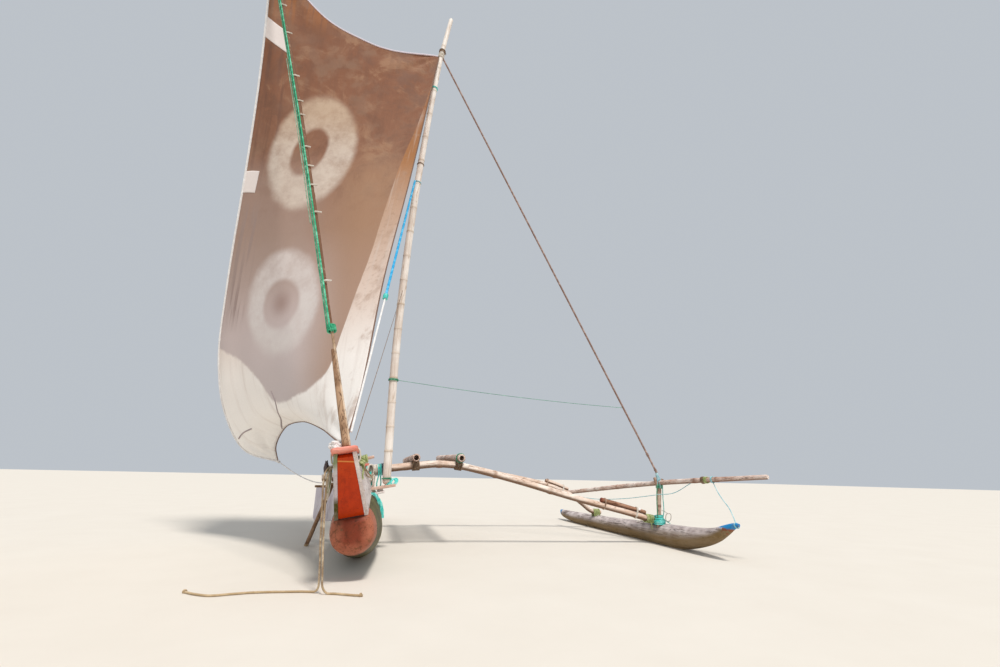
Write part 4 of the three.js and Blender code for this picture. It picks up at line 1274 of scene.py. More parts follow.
sail = {
    "across": 110,
    "up": 190,
    "thick": 0.0025,
    "width": 3.1,
    "height": 7.0,
    # each corner's s and t, and its folds: depth, number and reach
    "folds": [(1, 1, 0.016, 11, 1.3), (1, 0, 0.014, 9, 1.2), (0, 0, 0.014, 10, 0.9), (0, 1, 0.010, 9, 1.0)],
    # painted rings, as seen square on: an outer and an inner oval with centre in x and z, half width
    # and height and lean, then the colour above and below, how soft the edge is, and the inner spot
    "rings": [
        (
            (-1.174, 5.137), (0.563, 0.912), 4.8, (-1.214, 5.122), (0.231, 0.393), 12.1, "#c1a891",
            "#d0c1b4", 0.10, 0.0,
        ),
        (
            (-1.215, 2.884), (0.465, 0.709), -6.7, (-1.226, 2.839), (0.245, 0.347), -5.0, "#d3c8c4",
            "#d6cecb", 0.13, 0.6,
        ),
    ],
    # the patches' corners as s and t: low and high on the leech, then high and low inside it
    "patches": {
        "patch_upper": ((0.818, 0.0), (0.862, 0.0), (0.872, 0.150), (0.826, 0.185)),
        "patch_lower": ((0.508, 0.0), (0.548, 0.0), (0.551, 0.128), (0.506, 0.126)),
    },
    "seams": [
        ((0.097, 0.380), (0.072, 0.386), (0.035, 0.338), (0.004, 0.215)),
        ((0.070, 0.030), (0.062, 0.085), (0.052, 0.140)),
    ],
    # colours from z 1.0 to 8.5, as shares of that height: the dark cloth is partly the cloth's own tan and
    # partly painted shade, the pale cloth painted sunlight shining through it
    "darkCloth": [
        (0.05, "#cdc3c3"), (0.20, "#c5b6b4"), (0.38, "#9b7b69"), (0.55, "#885c45"), (0.72, "#825137"),
        (1.0, "#79492e"),
    ],
    "sunlitCloth": [
        (0.00, "#fdfbf8"), (0.13, "#faf4ef"), (0.22, "#e0cdc1"), (0.36, "#c3a591"), (0.46, "#b28b70"),
        (0.54, "#a06a3c"),
        (0.75, "#8d5733"), (1.0, "#7a4930"),
    ],
    # lower edge of the dark cloth, in x and z: a painted shadow edge
    "shadowEdge": [
        (-2.20, 2.50), (-2.00, 2.36), (-1.65, 2.16), (-1.32, 1.85), (-1.14, 1.65), (-0.77, 1.67),
        (-0.61, 1.74),
        (-0.46, 1.90), (-0.39, 2.26), (-0.30, 2.78), (-0.19, 3.40), (-0.13, 3.87), (-0.02, 4.61),
        (0.08, 5.16),
        (0.22, 5.77), (0.50, 7.60),
    ],
}
edgeSteps = 400
hemSteps = 160


def sailEdge(first, middle, last):
    points = [sailEdges[first], *sailEdges[middle], sailEdges[last]]
    return evenly(smoothLine(points), edgeSteps)


sailLines = {
    "foot": sailEdge("clew", "foot", "tack"),
    "head": sailEdge("peak", "head", "throat"),
    "leech": sailEdge("clew", "leech", "peak"),
    "luff": sailEdge("tack", "luff", "throat"),
}
corners = {name: Vector(sailEdges[name]) for name in ("tack", "clew", "throat", "peak")}


def flatSail(s, t):
    # s runs from foot to head and t from leech to luff
    p = between(sailLines["foot"], t) * (1 - s) + between(sailLines["head"], t) * s
    p += between(sailLines["leech"], s) * (1 - t) + between(sailLines["luff"], s) * t
    p -= corners["clew"] * ((1 - s) * (1 - t)) + corners["tack"] * ((1 - s) * t)
    return p - corners["peak"] * (s * (1 - t)) - corners["throat"] * (s * t)


def ripple(s, t):
    # how far the cloth stands off its smooth shape
    total = 0
    for s0, t0, depth, count, reach in sail["folds"]:
        dx = abs(t - t0) * sail["width"]
        dz = abs(s - s0) * sail["height"]
        far = math.hypot(dx, dz)
        total += depth * math.sin(
            count * math.atan2(dx, dz) + s0 * 2
        ) * math.exp(-far / reach) * min(1, far / 0.25)
    broad = noise.noise(Vector((t * 2.4, s * 3.0, 0.3))) * 0.020
    crease = noise.noise(Vector((t * 9 + s * 2, s * 5, 2.0))) * 0.006
    hang = math.sin(t * 26 + 2 * noise.noise(Vector((t * 2, s * 4, 7)))) * 0.004 * (0.3 + 0.7 * (1 - s))
    loose = min(1, 6 * min(s, 1 - s, t, 1 - t) + 0.25)
    return total + (broad + crease + hang) * loose


def clothAt(s, t, off=0.0):
    step = 0.004
    low, high = max(0, s - step), min(1, s + step)
    left, right = max(0, t - step), min(1, t + step)
    normal = (
        flatSail(s, right) - flatSail(s, left)
    ).cross(flatSail(high, t) - flatSail(low, t)).normalized()
    return flatSail(s, t) + normal * (ripple(s, t) + off)


def clothSheet(bm, quad, sSteps, tSteps, off=0.0):
    # quad has four corners as s and t, in the order that the sail's patches give them
    uv = bm.loops.layers.uv.get("UVMap") or bm.loops.layers.uv.new("UVMap")
    made = bmesh.ops.create_grid(bm, x_segments=tSteps, y_segments=sSteps, size=0.5, calc_uvs=True)["verts"]

    def inSail(x, y):
        low, high, highIn, lowIn = (Vector(corner) for corner in quad)
        return low.lerp(high, y).lerp(lowIn.lerp(highIn, y), x)

    for vert in made:
        s, t = inSail(vert.co.x + 0.5, vert.co.y + 0.5)
        vert.co = clothAt(min(max(s, 0), 1), min(max(t, 0), 1), off)
    for face in {face for vert in made for face in vert.link_faces}:
        for loop in face.loops:
            s, t = inSail(*loop[uv].uv)
            loop[uv].uv = (t * sail["width"], s * sail["height"])


def ringMask(tree, parts, centre, half, lean, wobble):
    # distance from a ring's centre, 1 on its outer edge
    turn = math.radians(lean)
    dx = minus(tree, parts.outputs[0], centre[0])
    dz = minus(tree, parts.outputs[2], centre[1])
    slide = times(tree, dz, math.tan(turn))
    x = maths(tree, "DIVIDE", minus(tree, dx, slide), half[0])
    z = maths(tree, "DIVIDE", dz, half[1])
    far = maths(
        tree, "SQRT",
        plus(
            tree, maths(tree, "POWER", maths(tree, "ABSOLUTE", x), 2.0),
            maths(tree, "POWER", maths(tree, "ABSOLUTE", z), 2.0),
        ),
    )
    return plus(tree, far, wobble)


def sailcloth(name, plain=None):
    material, tree, shader = newMaterial(name)
    sources = node(tree, "TexCoord")
    place, uv = sources.outputs["Object"], sources.outputs["UV"]
    weave = useGroup(tree, "weave", {"UV": uv, "Threads": 900.0})
    parts = node(tree, "SeparateXYZ", {0: place})
    x, z = parts.outputs[0], parts.outputs[2]
    soft = speckle(tree, place, 3.5, 6.0, 0.6)
    fine = speckle(tree, place, 60.0, 4.0, 0.7)
    broad = speckle(tree, place, 1.1, 4.0, 0.55)
    streak = speckle(tree, stretched(tree, uv, (3.0, 0.22, 1.0)), 2.6, 6.0, 0.6)

    def within(value, low, high, far=0.35):
        # 1 between low and high, fading out over far
        return times(
            tree, ramp(tree, value, low - far, low), inverse(tree, ramp(tree, value, high, high + far)),
        )

    def tint(colour, code, strength, *masks):
        # one more stain over the cloth so far
        mask = strength
        for more in masks:
            mask = times(tree, more, mask)
        return blend(tree, mask, colour, code)

    if plain:
        colour = blend(tree, weave["Slub"], plain[0], plain[1])
    else:
        rise = node(tree, "MapRange", {0: z, 1: 1.0, 2: 8.5, 3: 0.0, 4: 1.0}).outputs[0]
        # the dark cloth: the cloth's own tan deepening upwards, and partly painted shade
        colour = runOf(tree, rise, sail["darkCloth"])
        streaks = ramp(tree, streak, 0.46, 0.68)
        wear = ramp(tree, broad, 0.40, 0.62)
        colour = tint(colour, "#a0795c", 0.75, ramp(tree, x, -1.05, -0.35), within(z, 1.9, 4.6, 0.8))
        blotch = speckle(tree, place, 1.9, 6.0, 0.7, 0.6)
        colour = tint(colour, "#6d4735", 0.55, ramp(tree, blotch, 0.50, 0.64), ramp(tree, z, 3.6, 5.6))
        clear = inverse(tree, ramp(tree, blotch, 0.36, 0.50))
        colour = tint(colour, "#a98264", 0.55, clear, ramp(tree, z, 3.6, 5.4))
        colour = tint(colour, "#6b4534", 0.32, streaks, ramp(tree, z, 4.2, 6.0))
        colour = tint(colour, "#9f8068", 0.40, ramp(tree, soft, 0.42, 0.6), wear, ramp(tree, z, 3.0, 4.4))
        colour = tint(
            colour, "#9c6134", 0.85, ramp(tree, streak, 0.40, 0.58), within(x, -2.3, -1.35, 0.25),
            ramp(tree, z, 7.0, 7.7),
        )
        colour = tint(
            colour, "#6b4536", 0.75, streaks, within(x, -2.1, -1.75, 0.15), within(z, 4.9, 6.6, 0.5),
        )
        colour = tint(
            colour, "#6d4636", 0.60, ramp(tree, soft, 0.47, 0.62), within(x, -0.25, 0.4, 0.25),
            within(z, 5.7, 7.0, 0.6),
        )
        colour = tint(
            colour, "#85716d", 0.75, ramp(tree, streak, 0.44, 0.60), within(x, -2.0, -1.80, 0.10),
            within(z, 2.9, 4.1, 0.4),
        )
        colour = tint(colour, "#a8948c", 0.45, within(x, -2.2, -1.2, 0.4), within(z, 3.4, 4.6, 0.6))
        colour = tint(colour, "#7a5442", 0.35, ramp(tree, soft, 0.50, 0.66), ramp(tree, z, 3.4, 5.4))
        wobble = times(tree, minus(tree, soft, 0.5), 0.16)
        for centre, half, lean, coreCentre, coreHalf, coreLean, high, low, edge, spot in sail["rings"]:
            far = ringMask(tree, parts, centre, half, lean, wobble)
            band = inverse(tree, ramp(tree, far, 1.0 - edge, 1.0 + edge))
            inner = ringMask(tree, parts, coreCentre, coreHalf, coreLean, wobble)
            hole = ramp(tree, inner, 0.90 - edge * 0.5, 1.06 + edge * 0.5)
            mottled = maths(
                tree, "MULTIPLY_ADD", speckle(tree, place, 6.0, 6.0, 0.7), 1.5, 0.10, clamp=True,
            )
            band = times(tree, times(tree, band, hole), mottled)
            pale = blend(tree, ramp(tree, z, centre[1] - 0.2, centre[1] + half[1] * 0.8), low, high)
            colour = blend(tree, band, colour, pale)
            if spot:
                colour = tint(colour, "#8f7067", spot, inverse(tree, ramp(tree, inner, 0.0, 0.75)))
        # painted light: the pale lower cloth is painted sunlight shining through it, under a painted shadow
        # edge
        across = node(tree, "MapRange", {0: x, 1: -2.2, 2: 0.5, 3: 0.0, 4: 1.0}).outputs[0]
        curve = node(tree, "FloatCurve", {"Factor": 1.0, "Value": across})
        points = curve.mapping.curves[0].points
        rows = sail["shadowEdge"]
        for _ in rows[2:]:
            points.new(0.5, 0.5)
        for point, (rowX, rowZ) in zip(points, rows):
            point.location = ((rowX + 2.2) / 2.7, rowZ / 8.4)
            point.handle_type = "AUTO"
        curve.mapping.update()
        edge = times(tree, curve.outputs[0], 8.4)
        jitter = uneven(tree, place, 12.0, 0.05)
        below = plus(tree, minus(tree, edge, z), jitter)
        low = ramp(tree, below, -0.02, 0.03)
        # the lit cloth's colours: painted sunlight through the cloth, deepening upwards
        bleached = runOf(tree, rise, sail["sunlitCloth"])
        bleached = tint(bleached, "#a98a76", 0.55, ramp(tree, soft, 0.50, 0.66), ramp(tree, x, -0.7, -0.1))
        bleached = tint(bleached, "#d3c6be", 0.40, ramp(tree, streak, 0.50, 0.68))
        spots = ramp(tree, speckle(tree, place, 20.0, 2.0), 0.56, 0.70)
        bleached = tint(
            bleached, "#97765c", 0.30, spots, ramp(tree, x, -0.55, -0.2), ramp(tree, z, 2.2, 3.0),
        )
        colour = blend(tree, low, colour, bleached)
    colour = blend(tree, times(tree, fine, 0.16), colour, "#6f5a4c")
    colour = blend(tree, times(tree, weave["Slub"], 0.06), colour, "#f0e6da")
    height = plus(tree, times(tree, weave["Thread"], 0.3), plus(tree, weave["Slub"], fine))
    rough = maths(tree, "MULTIPLY_ADD", fine, 0.1, 0.86)
    dress(tree, shader, colour, rough, height, 0.0006)
    shader.inputs["Sheen Weight"].default_value = 0.03
    return material


def buildSail():
    bm = bmesh.new()
    clothSheet(bm, ((0, 0), (1, 0), (1, 1), (0, 1)), sail["up"], sail["across"])
    cloth = settle(bm, "sail_cloth", "rig", sailcloth("sail cloth"), ["sail"], sharp=180)
    wall = cloth.modifiers.new("cloth", "SOLIDIFY")
    wall.thickness = sail["thick"]
    wall.offset = 0
    white = sailcloth("pale patch cloth", ("#e3d8d4", "#efe6e3"))
    for name, quad in sail["patches"].items():
        bm = bmesh.new()
        for off in (0.0035, -0.0035):
            clothSheet(bm, quad, 18, 14, off)
        patch = settle(bm, "sail_" + name, "rig", white, sharp=180)
        face = patch.modifiers.new("cloth", "SOLIDIFY")
        face.thickness = 0.0015
        face.offset = 0
    tan = sailcloth("brown tape", ("#654a3d", "#84675a"))
    lilac = sailcloth("lilac tape", ("#ddd2e2", "#f4ecf6"))
    edges = {
        "leech_rope": (0, 1, 0, 0, 0.017, finishes["white_rope"], "pale_rope"),
        "head_rope": (1, 1, 0, 1, 0.013, lilac, "sailcloth"),
        "luff_rope": (0, 1, 1, 1, 0.008, tan, "sailcloth"),
        "foot_rope": (0, 0, 0, 1, 0.007, tan, "sailcloth"),
    }
    for name, (s0, s1, t0, t1, radius, material, slot) in edges.items():
        bm = bmesh.new()
        line = [
            clothAt(s0 + (s1 - s0) * i / hemSteps, t0 + (t1 - t0) * i / hemSteps)
            for i in range(hemSteps + 1)
        ]
        rope(bm, line, radius, sides=8, turn=0.09)
        settle(bm, "sail_" + name, "rig", material)
    bm = bmesh.new()
    for seam in sail["seams"]:
        line = smoothLine([(s, t, 0) for s, t in seam], 10)
        rope(bm, [clothAt(p.x, p.y) for p in line], 0.010, sides=8, turn=0.08)
    settle(bm, "sail_seams", "rig", sailcloth("grey seam", ("#9d9092", "#b5a8a9")))


print("rigging")
rigging = {
    "anchor": Vector((3.975, -1.050, 0.943)),
    "stayHead": Vector((0.530, -1.150, 7.431)),
    "stayRadius": 0.014,
    "belayX": -0.292,
    "sheetRadius": 0.007,
    "guyShare": 0.1354,  # where the thin line meets the stay
    "tackTop": Vector((0.262, -1.19, 4.94)),
    "tackEnd": Vector((-0.100, -3.04, 1.16)),
    "tackSplit": 0.61,  # where the blue rope ends and the white one begins
}


def buildRigging():
    anchor, head = rigging["anchor"], rigging["stayHead"]
    bm = bmesh.new()
    rope(
        bm, [anchor + (head - anchor) * 0.004, anchor.lerp(head, 0.5), head], rigging["stayRadius"],
        turn=0.10,
    )
    along = (head - anchor).normalized()
    lash(bm, anchor + along * 0.02, along, aft, (0.006, 0.006), 4, 0.0065, seed=4)
    lash(bm, anchor + along * 0.26, along, aft, (0.011, 0.011), 5, 0.004, seed=6)
    ball = bmesh.ops.create_uvsphere(bm, u_segments=16, v_segments=10, radius=0.0175)["verts"]
    bmesh.ops.translate(bm, verts=ball, vec=anchor)
    settle(bm, "stay_rope", "rig", finishes["stay_rope"], ["outrigger_stay"])

    rake = anchor - mastFoot
    belay = mastFoot + rake * ((rigging["belayX"] - mastFoot.x) / rake.x)
    clew = Vector(sailEdges["clew"])
    line = smoothLine([belay, (-0.560, -0.850, 0.728), (-0.860, -0.480, 0.820), clew])
    bm = bmesh.new()
    rope(bm, line, rigging["sheetRadius"], turn=0.05)
    way = (line[-1] - line[-8]).normalized()
    lash(bm, clew - way * 0.02, way, up, (0.006, 0.008), 4, 0.006, seed=2)
    lash(
        bm, belay + Vector((0, 0.026, 0)) * 0.2, Vector((1, 0.2, 0.1)), up, (0.006, 0.006), 2, 0.005,
        seed=8,
    )
    settle(bm, "sheet_rope", "rig", finishes["white_rope"], ["mainsheet"])

    bm = bmesh.new()
    cleat = [fromHull(u, belay.y + 0.026, 0.742) for u in (-0.138, -0.170, -0.205)]
    pole(bm, cleat, [0.012, 0.011], sides=16, spacing=0.01, rough=0.05, endRound=0.003)
    settle(bm, "sheet_cleat_worn", "hull", finishes["inner_wood"], ["sheet_cleat"])


buildRigging()
buildSail()

rings = {
    # height on the mast: rope, turns, rope radius, tail length
    "mast_foot_lashing": (0.790, "green_rope", 2, 0.005, 0.0),
    "mast_dark_ring": (5.267, "brown_rope", 2, 0.004, 0.0),
    "mast_green_ring": (1.977, "green_rope", 2, 0.007, 0.0),
    "mast_teal_ring": (6.754, "teal_rope", 2, 0.006, 0.0),
    "throat_lashing": (7.56, "brown_rope", 3, 0.008, 0.06),
    "throat_pale_lashing": (7.46, "pale_rope", 6, 0.007, 0.0),
    "halyard_lashing": (4.94, "cyan_rope", 2, 0.004, 0.0),
}


def buildMastLashings():
    for seed, (name, (z, slot, turns, radius, end)) in enumerate(rings.items()):
        at, along = mastAt(z)
        around = mastRadius(z)
        bm = bmesh.new()
        lash(bm, at, along, aft, (around, around), turns, radius, seed=seed, square=1.0)
        if end:
            tail(
                bm, at + Vector((around + radius, -0.01, 0)), Vector((1, -0.3, 0)), end, radius * 0.7,
                seed=seed,
            )
        settle(bm, name, "rig", finishes[slot])


def tautLine(name, material, start, end, radius, sag=0.0):
    start, end = Vector(start), Vector(end)
    middle = start.lerp(end, 0.5) - up * sag
    low = up * sag * 0.25
    bm = bmesh.new()
    line = smoothLine([start, start.lerp(middle, 0.5) - low, middle, middle.lerp(end, 0.5) - low, end])
    rope(bm, line, radius, sides=8, turn=max(0.05, radius * 8))
    settle(bm, name, "rig", material)


def buildTautLines():
    cast = rigging["anchor"].lerp(rigging["stayHead"], rigging["guyShare"])
    tautLine(
        "green_guy_line", finishes["green_rope"], (0.276, -1.15, 1.979), cast, 0.003, 0.03,
    )
    tackTop, tackEnd = rigging["tackTop"], rigging["tackEnd"]
    split = tackTop.lerp(tackEnd, rigging["tackSplit"])
    tautLine("tack_line_upper", finishes["azure_rope"], tackTop, split, 0.015)
    tautLine("tack_line_lower", finishes["white_rope"], split, tackEnd, 0.010)
    bm = bmesh.new()
    lash(bm, split, tackEnd - tackTop, aft, (0.010, 0.010), 4, 0.009, seed=12)
    lash(bm, split, Vector((1, 0, 0.2)), aft, (0.010, 0.020), 2, 0.008, seed=14)
    settle(bm, "tack_line_knot", "rig", finishes["teal_rope"])
    tautLine(
        "dark_lift_line", finishes["brown_rope"], (0.234, -1.19, 3.20), (-0.06, -3.02, 1.10),
        0.003,
    )


buildMastLashings()
buildTautLines()

print("prop and leeboard")
looseGear = {
    "propFoot": Vector((-0.600, -0.637, 0)),
    "propX": -0.330,  # where it leans on the fore boom
    "propRadius": 0.022,
    "propPast": 0.062,  # how far it reaches past the boom
    "gap": 0.0003,
    "bar": [(-0.615, -0.450, 0.672), (-0.3775, -0.450, 0.672), (-0.140, -0.450, 0.672)],
}


def buildLooseGear():
    foot = looseGear["propFoot"]
    lee, along = boomAt("fore", looseGear["propX"])
    lean = (lee - foot).normalized()
    distance = outrigger["boomRadius"] + looseGear["propRadius"] + outrigger["letIn"] + looseGear["gap"]
    for _ in range(6):
        beside = restOn(lee, along, lean, distance, aft)
        lean = (beside - foot).normalized()
    top = beside + lean * looseGear["propPast"]
    bm = bmesh.new()
    pole(
        bm, smoothLine([foot - lean * 0.04, foot.lerp(top, 0.5), top]), [0.0245, 0.0215], sides=20,
        rough=0.05, seed=51,
    )
    cutFlat(bm)
    settle(bm, "prop_pole_timber", "prop", finishes["pole"], ["prop_pole"])
    bm = bmesh.new()
    bar = [Vector(p) for p in looseGear["bar"]]
    pole(bm, bar, [0.0145, 0.0145], sides=18, spacing=0.03, rough=0.05, endRound=0.004)
    settle(bm, "leeboard_bar_timber", "hull", finishes["pole"], ["leeboard_bar"])
    wornCopy("leeboard", "leeboard", finishes["leeboard"], wear=0.006)


buildLooseGear()

print("lashings")


def buildFloatLashings():
    # turns over each boom's tip with both feet on the float
    for end in ("fore", "aft"):
        y = outrigger["boomY"][end]
        centre = boomAt(end, outrigger["floatX"] - 0.025)[0].z
        top = next(row[2] for row in outrigger["float"] if row[0] == y)
        slot, finish = ("teal_rope", "teal_rope") if end == "fore" else ("green_rope", "straw_green")
        bm = bmesh.new()
        for turn in range(9):
            x = outrigger["floatX"] - 0.080 + 0.0135 * turn
            wide = 0.043 + 0.006
            lean = 0.012 * noise.noise(Vector((turn * 1.9, y, 0)))
            points = [(x + lean, y - wide - 0.006, top - 0.02), (x, y - wide, centre)]
            points += [
                (x, y + wide * math.cos(a), centre + wide * math.sin(a)) for a in (2.4, 1.9, 1.57, 1.2, 0.7)
            ]
            points += [(x, y + wide, centre), (x - lean, y + wide + 0.006, top - 0.02)]
            rope(bm, smoothLine(points, 6), 0.0062, sides=8)
        settle(bm, f"float_lashing_{end}_turns", "hull", finishes[finish], [f"float_lashing_{end}"])


def buildLashings():
    for name, x, _, _ in deck["poles"]:
        for end, seat in zip(("fore", "aft"), deckSeats(x)):
            at, along = boomAt(end, x)
            slot = "brown_rope"
            if name.endswith("outer") and end == "fore":
                bm = bmesh.new()
                lash(bm, seat - aft * 0.062, aft, up, (0.048, 0.048), 3, 0.006, seed=31)
                settle(bm, name + "_end_lashing", "hull", finishes["green_rope"])
            bm = bmesh.new()
            lash(bm, at, along, up, (0.046, 0.046), 7, 0.007, seed=x * 10)
            for turn in (-1, 1):
                over = (along + aft * 0.5 * turn).normalized()
                lash(bm, at.lerp(seat, 0.5), over, up, (0.050, 0.088), 2, 0.006, seed=x + turn)
            settle(bm, f"{name}_{end}_lashing", "hull", finishes[slot])
    for end in ("fore", "aft"):
        for number, u in enumerate((-0.135, 0.135)):
            at = fromHull(u, outrigger["boomY"][end], 0.78)
            at.y = outrigger["boomY"][end]
            slot = ("pale_rope", "teal_rope")[number]
            bm = bmesh.new()
            lash(
                bm, at + Vector((0, 0, 0.022)), Vector((1, 0, 0.17)), up, (0.060, 0.105), 5, 0.006,
                seed=number,
            )
            settle(bm, f"boom_{end}_hull_lashing_{number}", "hull", finishes[slot])
        start, stop = outrigger["splices"][end]
        for number, share in enumerate((0.10, 0.80)):
            at, along = boomAt(end, start + (stop - start) * share)
            slot = ("brown_rope", "pale_rope")[number]
            bm = bmesh.new()
            lash(bm, at + up * 0.032, along, up, (0.040, 0.070), 2 + number, 0.0045, seed=number + 3)
            settle(
                bm, f"boom_splice_{end}_lashing_{number}", "hull",
                finishes[("boom_rope", "pale_rope")[number]],
            )
    at, along = boomAt("fore", 3.86)
    bm = bmesh.new()
    lash(bm, at, along, up, (0.043, 0.043), 8, 0.008, seed=9, slant=0.15)
    tail(bm, at - up * 0.03 - aft * 0.04, -aft, 0.10, 0.006, seed=3)
    settle(bm, "boom_fore_tip_lashing", "hull", finishes["straw_green"])


buildFloatLashings()
buildLashings()

print("post ropes")


def buildPostRopes():
    crotch = spar["crotch"]
    anchor = rigging["anchor"]
    bm = bmesh.new()
    base = crotch + Vector((-0.008, 0, -0.02))
    lift = anchor - base
    for aside, forth in ((-0.010, -0.012), (0.010, -0.006), (-0.004, 0.010), (0.012, 0.012)):
        top = anchor - lift.normalized() * 0.022 + Vector((aside * 0.4, forth * 0.5, 0))
        bottom = base + Vector((aside, forth + math.copysign(0.034, forth), 0.0))
        middle = top.lerp(bottom, 0.5) + Vector((aside * 0.6, math.copysign(0.012, forth), 0))
        rope(bm, smoothLine([top, middle, bottom, bottom - up * 0.05]), 0.0055, sides=8)
    lash(bm, crotch, Vector((0.12, -1, 0.05)), up, (0.036, 0.036), 4, 0.0055, seed=5)
    lash(bm, anchor - lift.normalized() * 0.028, lift, aft, (0.008, 0.008), 3, 0.005, seed=6)
    settle(bm, "stay_strop_ropes", "hull", finishes["cyan_rope"], ["stay_strop"])

    post = Vector((3.962, -1.050, 0.30))
    bm = bmesh.new()
    for lift, half, turns in ((-0.022, 0.056, 3), (0.006, 0.046, 3), (0.040, 0.036, 4)):
        lash(bm, post + Vector((0.004, 0, lift)), up, aft, (half, half), turns, 0.009, seed=half * 100)
    rope(
        bm,
        smoothLine(
            [
                crotch + Vector((0.035, -0.03, -0.03)), (4.020, -1.09, 0.60), (4.012, -1.095, 0.42),
                (3.992, -1.085, 0.33),
            ]
        ), 0.006, sides=8,
    )
    rope(
        bm, smoothLine([(4.000, -1.09, 0.33), (4.040, -1.12, 0.29), (4.060, -1.15, 0.275)]), 0.006, sides=8,
    )
    tail(bm, (3.99, -1.09, 0.345), Vector((1, -0.4, 0)), 0.10, 0.006, seed=8)
    settle(bm, "post_teal_lashing", "hull", finishes["teal_rope"])
    bm = bmesh.new()
    rope(
        bm,
        smoothLine(
            [
                crotch + Vector((-0.045, -0.02, -0.02)), (3.925, -1.09, 0.62), (3.918, -1.085, 0.44),
                (3.922, -1.08, 0.31),
            ]
        ), 0.007, sides=8,
    )
    lash(bm, crotch + Vector((0.0, 0, -0.045)), Vector((0.1, 0, 1)), aft, (0.034, 0.036), 5, 0.006, seed=11)
    settle(bm, "post_green_lashing", "hull", finishes["green_rope"])
    bm = bmesh.new()
    hoop = loopRound(
        Vector((4.052, -1.13, 0.350)), Vector((0.8, -0.5, 0)).normalized(),
        Vector((0.2, 0, 1)).normalized(), 0.034, 0.052,
    )
    rope(bm, hoop, 0.006, sides=8, closed=True, side=Vector((0.5, 0.8, 0)).normalized())
    rope(bm, smoothLine([(3.99, -1.08, 0.44), (4.02, -1.11, 0.42), (4.052, -1.13, 0.397)]), 0.005, sides=8)
    settle(bm, "post_cream_loop", "hull", finishes["pale_rope"])

    line = sparLine()
    way = (line[-1] - line[-12]).normalized()
    for name, y, turns, half, radius, finish in (
        ("spar_brown_band", -1.770, 3, 0.031, 0.007, "brown_rope"),
        ("spar_straw_band", -1.815, 4, 0.030, 0.006, "straw_green"),
    ):
        bm = bmesh.new()
        lash(bm, whereOn(line, 1, y)[0], way, up, (half, half), turns, radius, seed=turns)
        settle(bm, name, "hull", finishes[finish])
    at = whereOn(line, 1, -1.905)[0]
    bm = bmesh.new()
    lash(bm, at, way, up, (0.030, 0.030), 2, 0.0055, seed=21)
    drop = [
        at - up * 0.03, (4.155, -2.030, 0.705), (4.120, -2.135, 0.630), (4.078, -2.270, 0.545),
        (4.040, -2.365, 0.455), (4.018, -2.410, 0.400),
    ]
    rope(bm, smoothLine(drop), 0.0055, sides=8)
    lash(bm, Vector((4.016, -2.425, 0.376)), Vector((0, -1, 0.5)), up, (0.027, 0.024), 2, 0.004, seed=4)
    settle(bm, "spar_teal_line", "hull", finishes["cyan_rope"])
    bm = bmesh.new()
    start = whereOn(line, 1, -1.580)[0] - up * 0.03
    slack = [start, start.lerp(Vector((3.925, -1.085, 0.640)), 0.5) - up * 0.05, (3.925, -1.085, 0.640)]
    rope(bm, smoothLine(slack), 0.005, sides=8)
    slack = [(3.925, -1.075, 0.635), (3.76, -0.52, 0.560), (3.60, 0.10, 0.520), (3.520, 0.86, 0.545)]
    rope(bm, smoothLine(slack), 0.005, sides=8)
    settle(bm, "spar_slack_line", "hull", finishes["cyan_rope"])

    bm = bmesh.new()
    for y in (-0.66, -0.52):
        ring = [
            (3.925, y, 0.234), (3.975, y - 0.03, 0.258), (4.02, y - 0.08, 0.262), (4.07, y - 0.16, 0.250),
        ]
        rope(bm, smoothLine(ring), 0.006, sides=8)
    settle(bm, "float_white_rope", "hull", finishes["pale_rope"])


buildPostRopes()

print("bow gear")


def hank(bm, top, across, drop, width, loops, radius, seed=0):
    # a rope gathered in long loops that hang from one place
    top = Vector(top)
    for number in range(loops):
        shift = noise.noise(Vector((number * 1.3, seed, 0.4)))
        turned = (Vector(across) + aft * shift * 0.7).normalized()
        length = drop * (0.8 + 0.25 * noise.noise(Vector((seed, number * 2.1, 1))))
        middle = top - up * length / 2 + turned * shift * 0.01 + aft * (number - loops / 2) * radius * 0.9
        line = loopRound(middle, turned, up, width * (0.8 + 0.3 * shift), length / 2, square=0.9)
        rope(bm, line, radius, sides=8, closed=True, side=turned.cross(up))


def clothBundle(name, centre, half, material, seed):
    crumple = 0.35
    bm = bmesh.new()
    bmesh.ops.create_icosphere(bm, subdivisions=5, radius=1)
    for vert in bm.verts:
        way = vert.co.normalized()
        fold = noise.noise(way * 1.7 + Vector((seed, 0, 0))) * crumple
        fold += abs(noise.noise(way * 4.5 + Vector((0, seed, 0)))) * crumple * 0.5
        vert.co = Vector(
            (way.x * half[0], way.y * half[1], way.z * half[2])
        ) * (0.8 + fold) + Vector(centre)
    settle(bm, name, "hull", material)


